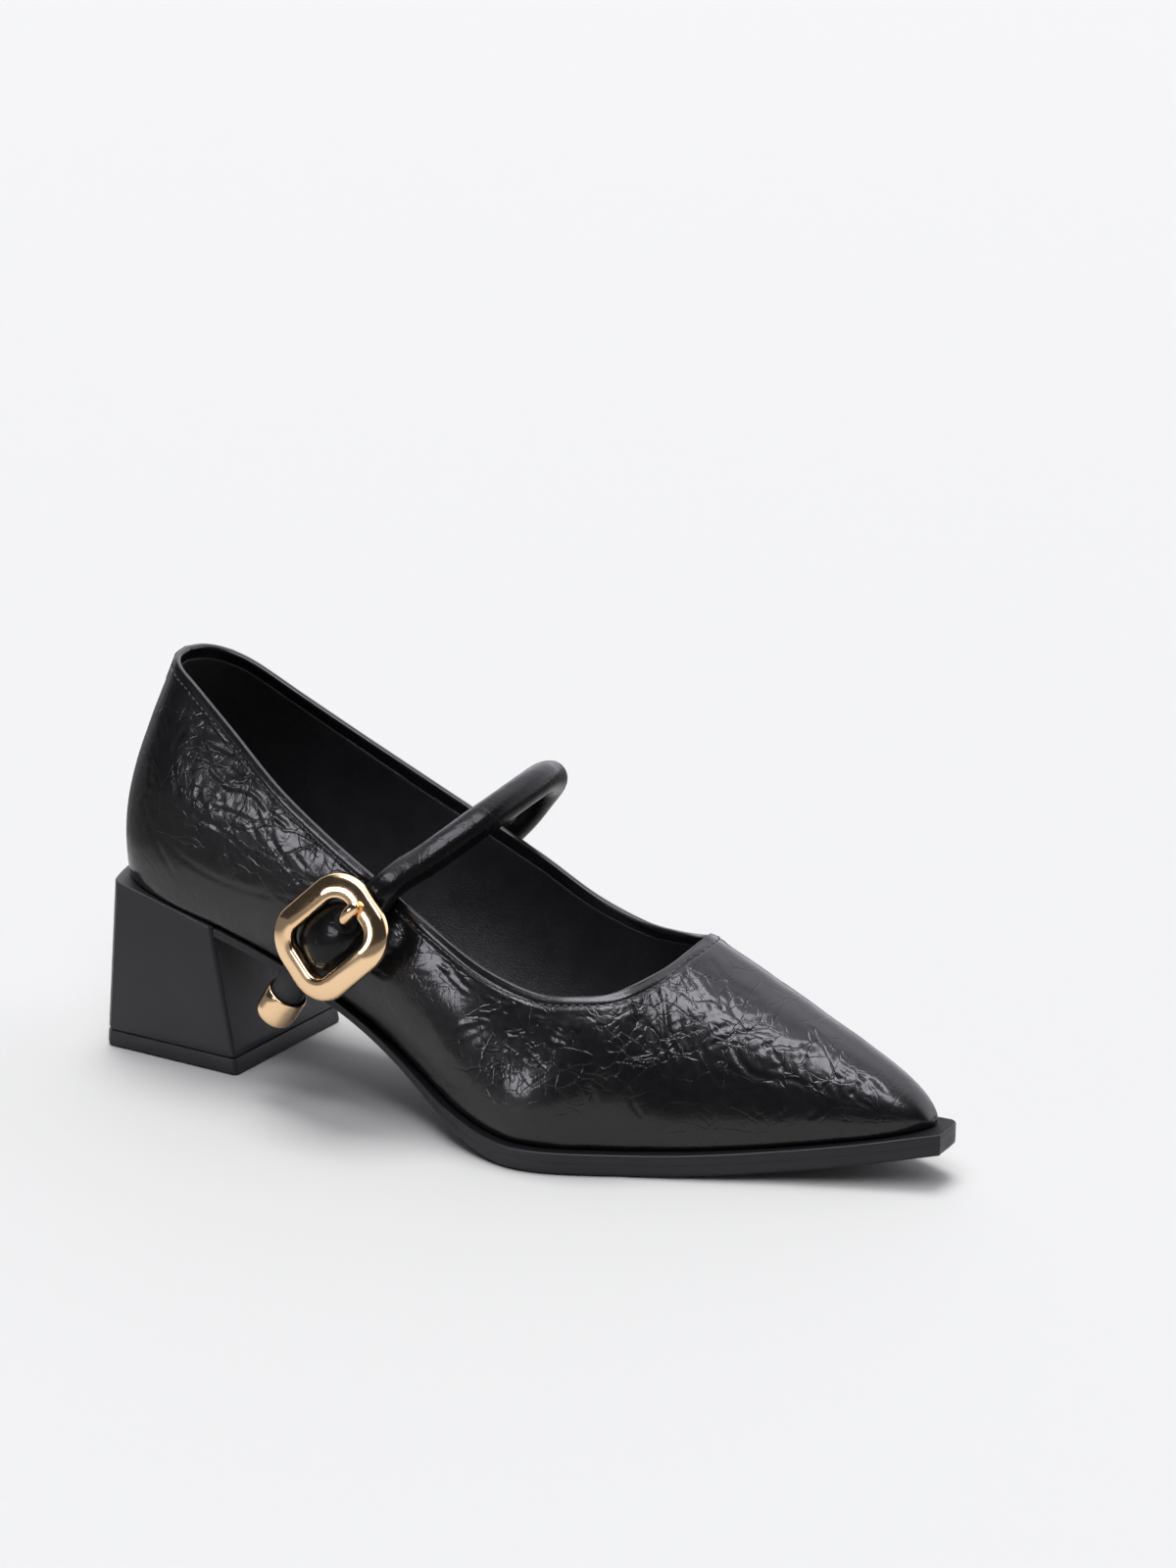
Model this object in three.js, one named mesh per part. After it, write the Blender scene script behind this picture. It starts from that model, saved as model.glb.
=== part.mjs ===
// Pointed-toe mary jane pump, right shoe.  Millimetres, +Z up.
// While it is drawn, X runs from the heel to the toe with X = 0 at the heel
// tread's back corners, +Y is the medial (inner) side and Z = 0 is the floor.
// The finished group is shifted so that its origin is the heel tread's centre.
import * as THREE from 'three';
import { mergeVertices } from 'three/addons/utils/BufferGeometryUtils.js';

// ------------------------------------------------------------ named sizes
const WALL = 1.8;             // leather plus lining
const GAP = 0.3;              // running gap between curved neighbours
const HEEL_L0 = 0.0, HEEL_L1 = 47.2;     // heel tread, back corners to breast
const HEEL_HALF = 25.7;       // half width of the heel tread
const TOP_PIECE = 4.9;        // rubber top piece under the heel block
const SEAT_BACK = 4.1, SEAT_FRONT = 38.4; // heel block's top, corners to breast
const SEAT_HALF = 24.3;
const BACK_SAG = 5.0;         // how far the heel's back bows out
const SEAT_Z0 = 51.2, SEAT_SLOPE = 0.235; // heel seat falls towards the toe
const INSOLE_T = 2.4;
const STRAP_R = 4.5;          // rolled strap's radius
const BUCKLE_L = 35.8, BUCKLE_W = 29.0;   // buckle, along and across the strap
const BUCKLE_BAR = 6.8, BUCKLE_T = 4.0;   // ring's face width and thickness
const FERRULE_R = 5.75, FERRULE_L = 10.2;   // cup on the strap's tail
const TAIL_R = 4.7;           // the tail where it enters the cup
const ORIGIN_X = (HEEL_L0 + HEEL_L1) / 2;

// ------------------------------------------------------------ small helpers
const D2R = Math.PI / 180;
const clamp = (v, a, b) => Math.max(a, Math.min(b, v));
// monotone-ish cubic (Catmull-Rom with real spacing) through a table column
function curve(rows, xk, yk) {
  const X = rows.map(r => r[xk]), Y = rows.map(r => r[yk]), n = X.length;
  const m = X.map((_, i) => {
    if (i === 0) return (Y[1] - Y[0]) / (X[1] - X[0]);
    if (i === n - 1) return (Y[n - 1] - Y[n - 2]) / (X[n - 1] - X[n - 2]);
    const a = (Y[i] - Y[i - 1]) / (X[i] - X[i - 1]), b = (Y[i + 1] - Y[i]) / (X[i + 1] - X[i]);
    const w = (X[i + 1] - X[i]) / (X[i + 1] - X[i - 1]);
    return a * w + b * (1 - w);
  });
  return x => {
    x = clamp(x, X[0], X[n - 1]);
    let i = 0; while (i < n - 2 && x > X[i + 1]) i++;
    const h = X[i + 1] - X[i], t = (x - X[i]) / h, t2 = t * t, t3 = t2 * t;
    return (2 * t3 - 3 * t2 + 1) * Y[i] + (t3 - 2 * t2 + t) * h * m[i] + (3 * t2 - 2 * t3) * Y[i + 1] + (t3 - t2) * h * m[i + 1];
  };
}
// the same through row numbers, for whole rows at once
function rowSpline(rows, keys, across) {
  const n = rows.length;
  return s => {
    s = clamp(s, 0, n - 1);
    const i = Math.min(n - 2, Math.floor(s)), t = s - i, o = {};
    for (const k of keys) {
      const p1 = rows[i][k], p2 = rows[i + 1][k];
      let p0 = i > 0 ? rows[i - 1][k] : 2 * p1 - p2, p3 = i < n - 2 ? rows[i + 2][k] : 2 * p2 - p1;
      if (k === 'xt' || k === 'yt' || k === 'zt') {   // the topline runs on across the throat, not down the ridge
        if (i === THROAT - 1) p3 = across[i][k];
        if (i === THROAT) p0 = 2 * p1 - p2;
      }
      o[k] = 0.5 * (2 * p1 + (p2 - p0) * t + (2 * p0 - 5 * p1 + 4 * p2 - p3) * t * t + (3 * p1 - p0 - 3 * p2 + p3) * t * t * t);
    }
    return o;
  };
}
const table = (names, rows) => rows.map(r => Object.fromEntries(names.map((k, i) => [k, r[i]])));

class Shell {                 // triangles by vertex position
  constructor() { this.p = []; this.f = []; }
  v(a) { this.p.push([...a]); return this.p.length - 1; }
  t(a, b, c) { this.f.push([a, b, c]); }
  q(a, b, c, d) { this.t(a, b, c); this.t(a, c, d); }
  geometry() {
    const pos = [];
    const key = a => a.map(v => v.toFixed(5)).join();
    for (const [a, b, c] of this.f) {
      const A = this.p[a], B = this.p[b], C = this.p[c];
      const ka = key(A), kb = key(B), kc = key(C);
      if (ka === kb || kb === kc || ka === kc) continue;
      pos.push(...A, ...B, ...C);
    }
    const g = new THREE.BufferGeometry();
    g.setAttribute('position', new THREE.Float32BufferAttribute(pos, 3));
    return mergeVertices(g, 1e-4);
  }
}
const MAT = {
  leather: new THREE.MeshStandardMaterial({ color: new THREE.Color(0.016, 0.016, 0.017), roughness: 0.22, metalness: 0 }),
  sole: new THREE.MeshStandardMaterial({ color: new THREE.Color(0.022, 0.022, 0.024), roughness: 0.55, metalness: 0 }),
  heel: new THREE.MeshStandardMaterial({ color: new THREE.Color(0.018, 0.018, 0.019), roughness: 0.5, metalness: 0 }),
  rubber: new THREE.MeshStandardMaterial({ color: new THREE.Color(0.020, 0.020, 0.022), roughness: 0.6, metalness: 0 }),
  lining: new THREE.MeshStandardMaterial({ color: new THREE.Color(0.014, 0.014, 0.015), roughness: 0.6, metalness: 0 }),
  gold: new THREE.MeshStandardMaterial({ color: new THREE.Color(0.86, 0.60, 0.34), roughness: 0.16, metalness: 1 }),
};
const group = new THREE.Group();
group.name = 'mary_jane_pump';
function add(name, geometry, material) {
  geometry.computeVertexNormals();
  const m = new THREE.Mesh(geometry, material);
  m.name = name; m.position.x = -ORIGIN_X;
  group.add(m); return m;
}

// ------------------------------------------------------------ sole sections
// x, underside height, thickness, lateral edge, medial edge
const SOLE = table(['x', 'zb', 't', 'yl', 'ym'], [
  [39.2, 39.9, 2.8, -24.0, 24.0],
  [50, 36.6, 2.8, -23.2, 22.4],
  [62, 32.5, 2.8, -22.6, 20.6],
  [75, 27.8, 2.8, -22.6, 19.3],
  [88, 22.6, 2.8, -23.8, 19.1],
  [100, 17.2, 2.9, -26.2, 20.6],
  [110, 12.1, 3.2, -29.0, 23.2],
  [118, 8.1, 3.9, -32.0, 26.3],
  [126, 4.6, 4.9, -35.1, 29.6],
  [134, 2.0, 5.7, -37.6, 32.8],
  [141, 0.6, 6.15, -39.3, 35.3],
  [148, 0.0, 6.3, -40.1, 37.2],
  [156, 0.0, 6.3, -38.8, 38.7],
  [166, 0.0, 6.3, -34.6, 39.3],
  [176, 0.0, 6.3, -29.3, 38.5],
  [188, 0.4, 6.3, -23.4, 36.1],
  [200, 1.25, 6.3, -17.2, 33.4],
  [212, 2.5, 6.3, -10.9, 30.9],
  [224, 4.15, 6.3, -5.0, 28.3],
  [234, 5.75, 6.3, 0.0, 25.8],
  [243, 7.5, 6.3, 4.5, 22.9],
  [248.5, 8.65, 6.3, 6.9, 20.8],
  [251.2, 9.2, 6.3, 8.1, 19.7],
]);
const soleLow = curve(SOLE, 'x', 'zb'), soleBottom = x => Math.max(0, soleLow(x)), soleT = curve(SOLE, 'x', 't');
const soleL = curve(SOLE, 'x', 'yl'), soleM = curve(SOLE, 'x', 'ym');
const seatZ = x => SEAT_Z0 - SEAT_SLOPE * (x - 3);
// the surface that the upper and the insole stand on
function support(x) {
  const a = seatZ(x);
  if (x <= SEAT_FRONT) return a;
  const b = soleBottom(x) + soleT(x);
  const k = clamp((x - SEAT_FRONT) / 4, 0, 1);
  return x < SEAT_FRONT + 4 ? a * (1 - k) + b * k : b;
}

// ------------------------------------------------------------ upper sections
// One row per section.  xf, yf: foot of the wall on the sole.  xt, yt, zt: the
// top of the wall, which is the topline back to front and then the ridge of
// the vamp.  o1, u1: first handle, outwards and upwards.  o2, d2: second
// handle, outwards and downwards.  af, at: which way outwards points, degrees.
const KEYS = ['xf', 'yf', 'xt', 'yt', 'zt', 'o1', 'u1', 'o2', 'd2', 'af', 'at'];
const LATERAL = table(KEYS, [
  [-0.8, 0, 14.0, 0, 115.8, 3.2, 24, 8.0, 20, 180, 180],
  [1.8, -13.2, 15.6, -6.8, 115.1, 3.4, 24, 7.8, 20, 212, 210],
  [9.4, -20.9, 20.0, -11.2, 113.1, 4.0, 23, 7.8, 20, 242, 238],
  [22.0, -23.5, 27.5, -13.7, 109.3, 5.2, 21, 8.4, 20, 266, 262],
  [38.0, -23.2, 42.0, -16.7, 99.5, 6.6, 19, 8.0, 18, 270, 270],
  [56.0, -21.9, 60.0, -20.7, 87.1, 7.6, 17, 6.0, 16, 270, 270],
  [75.0, -21.0, 78.0, -22.4, 76.0, 8.4, 15, 4.4, 14, 270, 270],
  [94.0, -22.4, 96.0, -23.5, 66.2, 8.2, 13, 3.6, 12, 270, 270],
  [112.0, -27.0, 113.0, -24.6, 57.2, 7.0, 12, 3.6, 11, 272, 270],
  [130.0, -33.6, 130.0, -25.0, 48.8, 4.6, 11, 5.4, 10, 274, 270],
  [146.0, -37.2, 146.5, -24.6, 44.7, 3.2, 11, 7.4, 8.6, 279, 270],
  [158.0, -35.2, 158.4, -22.4, 45.2, 2.8, 12, 8.6, 7.8, 290, 270],
  [168.6, -30.2, 168.4, -17.6, 47.0, 2.6, 14, 9.6, 7.4, 297, 270],
  [177.6, -25.5, 175.3, -5.6, 51.1, 2.4, 16.5, 12.0, 6.2, 298, 270],
  [186.0, -21.4, 179.8, 9.4, 56.8, 2.2, 19, 15.0, 1.0, 298, 270],
  [196.0, -16.4, 190.0, 11.0, 51.5, 1.9, 18.5, 13.8, 0.4, 298, 270],
  [206.0, -11.2, 201.0, 12.3, 45.5, 1.7, 17, 12.0, 0, 298, 270],
  [216.0, -6.2, 212.5, 13.3, 39.5, 1.5, 14.6, 10.2, 0, 298, 270],
  [225.4, -1.5, 223.5, 14.1, 34.1, 1.3, 12.2, 8.3, 0, 298, 270],
  [233.4, 2.6, 232.5, 14.7, 29.2, 1.1, 9.8, 6.4, 0, 298, 270],
  [239.4, 6.2, 239.2, 15.0, 24.8, 0.9, 7.4, 4.7, 0, 300, 270],
  [243.4, 9.4, 243.4, 15.0, 21.0, 0.7, 5.0, 3.2, 0, 304, 270],
  [245.7, 12.2, 245.7, 15.0, 17.6, 0.5, 2.4, 1.7, 0, 315, 270],
  [246.5, 15.0, 246.5, 15.0, 14.9, 0, 0, 0, 0, 360, 270],
]);
const MEDIAL = table(KEYS, [
  [-0.8, 0, 14.0, 0, 115.8, 3.2, 24, 8.0, 20, 180, 180],
  [1.8, 13.2, 15.6, 6.8, 115.2, 3.4, 24, 7.8, 20, 148, 150],
  [9.4, 20.8, 20.0, 11.6, 113.4, 4.0, 23, 7.8, 20, 118, 122],
  [22.0, 23.1, 27.5, 14.9, 109.9, 5.4, 21, 8.0, 20, 93, 97],
  [38.0, 22.2, 42.0, 19.0, 100.9, 7.0, 19, 6.4, 18, 90, 90],
  [56.0, 20.0, 60.0, 23.0, 90.5, 8.6, 18, 4.4, 16, 90, 90],
  [75.0, 18.0, 78.0, 26.8, 80.4, 10.0, 17, 2.6, 14, 90, 90],
  [94.0, 18.2, 96.0, 30.1, 70.7, 11.4, 15, 2.0, 12, 90, 90],
  [112.0, 22.0, 113.0, 33.2, 61.4, 10.6, 13, 1.8, 11, 89, 90],
  [130.0, 28.9, 130.0, 34.9, 52.0, 7.4, 12, 2.6, 10, 88, 90],
  [147.0, 34.4, 146.0, 34.5, 47.3, 4.6, 12, 4.6, 9, 86, 90],
  [161.0, 36.5, 157.5, 31.5, 47.6, 3.4, 13, 6.6, 7.6, 83, 90],
  [173.0, 36.1, 168.0, 26.2, 50.0, 2.8, 15, 8.6, 6.4, 79, 90],
  [184.0, 34.2, 175.6, 18.6, 53.4, 2.4, 17, 10.4, 4.6, 77, 90],
  [193.0, 32.2, 179.8, 9.4, 56.8, 2.2, 19, 12.6, 1.0, 77, 90],
  [202.0, 30.2, 190.0, 11.0, 51.5, 1.9, 18.5, 11.0, 0.4, 77, 90],
  [211.0, 28.3, 201.0, 12.3, 45.5, 1.7, 17, 9.4, 0, 77, 90],
  [220.0, 26.4, 212.5, 13.3, 39.5, 1.5, 14.6, 7.8, 0, 76, 90],
  [228.4, 24.5, 223.5, 14.1, 34.1, 1.3, 12.2, 6.2, 0, 74, 90],
  [235.4, 22.7, 232.5, 14.7, 29.2, 1.1, 9.8, 4.8, 0, 70, 90],
  [240.6, 20.8, 239.2, 15.0, 24.8, 0.9, 7.4, 3.5, 0, 64, 90],
  [244.0, 19.0, 243.4, 15.0, 21.0, 0.7, 5.0, 2.3, 0, 56, 90],
  [245.9, 17.2, 245.7, 15.0, 17.6, 0.5, 2.4, 1.3, 0, 45, 90],
  [246.5, 15.0, 246.5, 15.0, 14.9, 0, 0, 0, 0, 0, 90],
]);
const THROAT = 14;            // row where the topline meets the vamp's ridge
const LAST = LATERAL.length - 1;
const latRow = rowSpline(LATERAL, KEYS, MEDIAL), medRow = rowSpline(MEDIAL, KEYS, LATERAL);
// point on the upper's outside: side -1 lateral or +1 medial, row s, height v 0..1
function upperPoint(side, s, v) {
  const r = side < 0 ? latRow(s) : medRow(s);
  if (s >= THROAT) {          // the ridge belongs to both sides
    const q = side < 0 ? medRow(s) : latRow(s);
    for (const k of ['xt', 'yt', 'zt']) r[k] = (r[k] + q[k]) / 2;
  }
  const zf = support(r.xf) + GAP, w = 1 - v;
  const P0 = [r.xf, r.yf, zf];
  const P1 = [r.xf + r.o1 * Math.cos(r.af * D2R), r.yf + r.o1 * Math.sin(r.af * D2R), zf + r.u1];
  const P2 = [r.xt + r.o2 * Math.cos(r.at * D2R), r.yt + r.o2 * Math.sin(r.at * D2R), r.zt - r.d2];
  const P3 = [r.xt, r.yt, r.zt];
  const a = w * w * w, b = 3 * w * w * v, c = 3 * w * v * v, d = v * v * v;
  return [0, 1, 2].map(i => a * P0[i] + b * P1[i] + c * P2[i] + d * P3[i]);
}
function upperNormal(side, s, v) {
  const e = 0.02, lo = clamp(s - e, 0, LAST - 0.05), hi = clamp(s + e, 0, LAST - 0.01);
  const A = upperPoint(side, lo, v), B = upperPoint(side, hi, v);
  const C = upperPoint(side, s, clamp(v - e, 0, 1)), D = upperPoint(side, s, clamp(v + e, 0, 1));
  const a = new THREE.Vector3(B[0] - A[0], B[1] - A[1], B[2] - A[2]);
  const b = new THREE.Vector3(D[0] - C[0], D[1] - C[1], D[2] - C[2]);
  const n = a.cross(b).normalize();
  return side < 0 ? n : n.negate();
}
// how far out the wall stands at a given x and height
function wallAt(side, x, z) {
  let s = 6, v = 0.5;
  for (let k = 0; k < 60; k++) {
    const P = upperPoint(side, s, v), Ps = upperPoint(side, s + 0.02, v), Pv = upperPoint(side, s, v + 0.01);
    const a = (Ps[0] - P[0]) / 0.02, b = (Pv[0] - P[0]) / 0.01, c = (Ps[2] - P[2]) / 0.02, d = (Pv[2] - P[2]) / 0.01;
    const det = a * d - b * c, ex = x - P[0], ez = z - P[2];
    s = clamp(s + 0.7 * (ex * d - b * ez) / det, 0, LAST - 1); v = clamp(v + 0.7 * (a * ez - c * ex) / det, 0, 1.3);
  }
  return { y: upperPoint(side, s, v)[1], n: upperNormal(side, s, clamp(v, 0.02, 0.98)) };
}

// ------------------------------------------------------------ upper
const VSEG = 10;
const STATIONS = [];
for (let i = 0; i < LAST; i++) {
  const k = i < 4 || i >= LAST - 5 ? 3 : 2;
  for (let j = 0; j < k; j++) STATIONS.push(i + j / k);
}
STATIONS.push(LAST);
{
  const S = new Shell(), N = STATIONS.length;
  const grid = side => STATIONS.map(s => Array.from({ length: VSEG + 1 }, (_, j) => upperPoint(side, s, j / VSEG)));
  const inner = (side, G) => STATIONS.map((s, i) => Array.from({ length: VSEG + 1 }, (_, j) => {
    const v = j / VSEG, P = G[i][j];
    if (s > LAST - 0.001) return [P[0] - WALL * 1.25, P[1], support(P[0] - WALL * 1.25) + GAP];
    const n = upperNormal(side, s, clamp(v, 0.015, 0.985));
    // where the two sides meet, both use the mean of their normals
    if (s === 0 || (j === VSEG && s >= THROAT)) { n.add(upperNormal(-side, s, clamp(v, 0.015, 0.985))).normalize(); }
    if (j === 0) n.z = 0;
    n.normalize();
    const Q = [P[0] - WALL * n.x, P[1] - WALL * n.y, P[2] - WALL * n.z];
    if (j === 0) Q[2] = support(Q[0]) + GAP;
    return Q;
  }));
  for (const side of [-1, 1]) {
    const O = grid(side), I = inner(side, O);
    const vo = O.map(r => r.map(p => S.v(p))), vi = I.map(r => r.map(p => S.v(p)));
    const quad = (a, b, c, d) => (side < 0 ? S.q(a, b, c, d) : S.q(a, d, c, b));
    for (let i = 0; i < N - 1; i++) {
      for (let j = 0; j < VSEG; j++) {
        quad(vo[i][j], vo[i + 1][j], vo[i + 1][j + 1], vo[i][j + 1]);
        quad(vi[i][j], vi[i][j + 1], vi[i + 1][j + 1], vi[i + 1][j]);
      }
      quad(vo[i][0], vi[i][0], vi[i + 1][0], vo[i + 1][0]);
      if (STATIONS[i] < THROAT) quad(vo[i][VSEG], vo[i + 1][VSEG], vi[i + 1][VSEG], vi[i][VSEG]);
    }
  }
  add('upper', S.geometry(), MAT.leather);
}

// ------------------------------------------------------------ insole
// lies inside the foot of the wall, row by row
{
  const S = new Shell(), K = 4, rows = [];
  for (const s of STATIONS) {
    const edge = side => {
      const P = upperPoint(side, s, 0), n = upperNormal(side, Math.min(s, LAST - 0.4), 0.015);
      if (s === 0) n.y = 0; n.z = 0; n.normalize();
      const k = WALL + 0.4 + 0.1 * clamp(s - LAST + 5, 0, 5);
      return s > LAST - 0.001 ? [P[0] - 5.6, P[1]] : [P[0] - k * n.x, P[1] - k * n.y];
    };
    const a = edge(-1), b = edge(1);
    if (s > LAST - 1.7 && s < LAST - 0.001) continue;
    rows.push(Array.from({ length: K + 1 }, (_, j) => [a[0] + (b[0] - a[0]) * j / K, a[1] + (b[1] - a[1]) * j / K]));
  }
  const top = rows.map(r => r.map(([x, y]) => S.v([x, y, support(x) + GAP + INSOLE_T])));
  const bot = rows.map(r => r.map(([x, y]) => S.v([x, y, support(x) + GAP])));
  for (let i = 0; i < rows.length - 1; i++) {
    for (let j = 0; j < K; j++) {
      S.q(top[i][j], top[i + 1][j], top[i + 1][j + 1], top[i][j + 1]);
      S.q(bot[i][j], bot[i][j + 1], bot[i + 1][j + 1], bot[i + 1][j]);
    }
    S.q(bot[i][0], bot[i + 1][0], top[i + 1][0], top[i][0]);
    S.q(bot[i][K], top[i][K], top[i + 1][K], bot[i + 1][K]);
  }
  add('insole', S.geometry(), MAT.lining);
}

// ------------------------------------------------------------ outsole
{
  const S = new Shell(), K = 4, rows = [];
  for (let i = 0; i < SOLE.length - 1; i++) {
    const n = i < SOLE.length - 2 ? 2 : 1;
    for (let j = 0; j < n; j++) rows.push(SOLE[i].x + (SOLE[i + 1].x - SOLE[i].x) * j / n);
  }
  rows.push(SOLE[SOLE.length - 1].x);
  const pt = (x, j, up) => [x, soleL(x) + (soleM(x) - soleL(x)) * j / K, soleBottom(x) + (up ? soleT(x) : 0)];
  const top = rows.map(x => Array.from({ length: K + 1 }, (_, j) => S.v(pt(x, j, true))));
  const bot = rows.map(x => Array.from({ length: K + 1 }, (_, j) => S.v(pt(x, j, false))));
  const n = rows.length - 1;
  for (let i = 0; i < n; i++) {
    for (let j = 0; j < K; j++) {
      S.q(top[i][j], top[i + 1][j], top[i + 1][j + 1], top[i][j + 1]);
      S.q(bot[i][j], bot[i][j + 1], bot[i + 1][j + 1], bot[i + 1][j]);
    }
    S.q(bot[i][0], bot[i + 1][0], top[i + 1][0], top[i][0]);
    S.q(bot[i][K], top[i][K], top[i + 1][K], bot[i + 1][K]);
  }
  for (let j = 0; j < K; j++) {
    S.q(bot[0][j], top[0][j], top[0][j + 1], bot[0][j + 1]);
    S.q(bot[n][j], bot[n][j + 1], top[n][j + 1], top[n][j]);
  }
  add('outsole', S.geometry(), MAT.sole);
}

// ------------------------------------------------------------ heel
// plan outline at a height fraction k (0 floor .. 1 seat), with softened corners
function heelOutline(k, inset = 0) {
  const x0 = HEEL_L0 + (SEAT_BACK - HEEL_L0) * k + inset;
  const x1 = HEEL_L1 + (SEAT_FRONT - HEEL_L1) * k - inset;
  const h = HEEL_HALF + (SEAT_HALF - HEEL_HALF) * k - inset, r = 1.2, pts = [];
  pts.push([x1 - r, -h], [x1 - r * 0.3, -h + r * 0.3], [x1, -h + r], [x1, h - r], [x1 - r * 0.3, h - r * 0.3], [x1 - r, h]);
  pts.push([x0 + r, h]);
  const M = 14;
  for (let i = 0; i <= M; i++) {
    const y = (h - r * 0.7) * (1 - 2 * i / M), f = y / h;
    pts.push([x0 - BACK_SAG * (1 - f * f), y]);
  }
  pts.push([x0 + r, -h]);
  return pts;
}
function stack(levels, material, name) {   // levels: rings of [x, y, z], same count
  const S = new Shell(), R = levels.map(l => l.map(p => S.v(p))), n = levels[0].length;
  for (let k = 0; k < R.length - 1; k++) for (let i = 0; i < n; i++) {
    const j = (i + 1) % n; S.q(R[k][i], R[k][j], R[k + 1][j], R[k + 1][i]);
  }
  for (const [k, up] of [[0, false], [R.length - 1, true]]) {
    const c = levels[k].reduce((a, p) => [a[0] + p[0] / n, a[1] + p[1] / n, a[2] + p[2] / n], [0, 0, 0]);
    const m = S.v(c);
    for (let i = 0; i < n; i++) { const j = (i + 1) % n; if (up) S.t(m, R[k][i], R[k][j]); else S.t(m, R[k][j], R[k][i]); }
  }
  add(name, S.geometry(), material);
}
{
  const mean = (SEAT_Z0 + seatZ(SEAT_FRONT)) / 2;
  const level = (z, inset) => heelOutline(z / mean, inset).map(([x, y]) => [x, y, z]);
  stack([level(0, 0.4), level(0.5, 0), level(TOP_PIECE, 0)], MAT.rubber, 'heel_top_piece');
  const seat = heelOutline(1, 0).map(([x, y]) => [x, y, seatZ(x)]);
  const rings = [level(TOP_PIECE + GAP, 0.35), level(TOP_PIECE + GAP + 0.6, 0)];
  for (const f of [0.3, 0.6, 0.85]) {
    rings.push(heelOutline(f, 0).map(([x, y]) => [x, y, (TOP_PIECE + 1) + (seatZ(x) - TOP_PIECE - 1) * (f - 0.12) / 0.88]));
  }
  rings.push(seat);
  stack(rings, MAT.heel, 'heel_block');
}

// ------------------------------------------------------------ strap
// Centre line from the medial end, over the instep, down the lateral quarter
// through the buckle to the ferrule.  w is the half width and h the half
// thickness of the rolled leather; on a flank the height decides how far out.
const onWall = (side, x, z, off) => {
  const a = wallAt(side, x, z);
  return [x + a.n.x * off, a.y + a.n.y * off, z + a.n.z * off];
};
const STRAP = [];
const rest = 0.45;            // stand-off between strap and wall
for (const [x, z, w, h, off] of [[80.0, 33.6, 4.2, 2.2, 2.0], [83.2, 39.4, 4.4, 3.0, 1.8], [88.5, 48.5, 4.5, 4.2, 0.9], [95.0, 59.0, 4.5, 4.5, 0.6]]) {
  STRAP.push({ p: onWall(1, x, z, h + off), w, h });
}
for (const [x, y, z] of [[102.0, 39.6, 68.6], [106.4, 41.1, 74.7], [111.0, 39.9, 80.3], [115.0, 34.4, 84.3], [117.4, 26.0, 86.5],
  [118.6, 17.0, 86.4], [117.8, 8.0, 84.6], [115.4, -0.4, 81.7], [111.2, -8.2, 77.3], [106.6, -16.0, 72.7], [103.2, -22.6, 69.8], [101.0, -27.3, 67.0]]) {
  STRAP.push({ p: [x, y, z], w: STRAP_R, h: STRAP_R });
}
for (const [x, z, w, h, off] of [[98.2, 62.6, 4.9, 4.0, 0], [94.4, 58.6, 6.0, 3.7, 0.6], [91.0, 55.3, 6.9, 4.2, 1.3], [87.4, 51.8, 7.0, 4.3, 1.5],
  [83.8, 48.3, 6.7, 4.1, 1.2], [80.6, 45.2, 5.6, 3.5, 0.5]]) {
  STRAP.push({ p: onWall(-1, x, z, h + rest + off), w, h });
}
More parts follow.
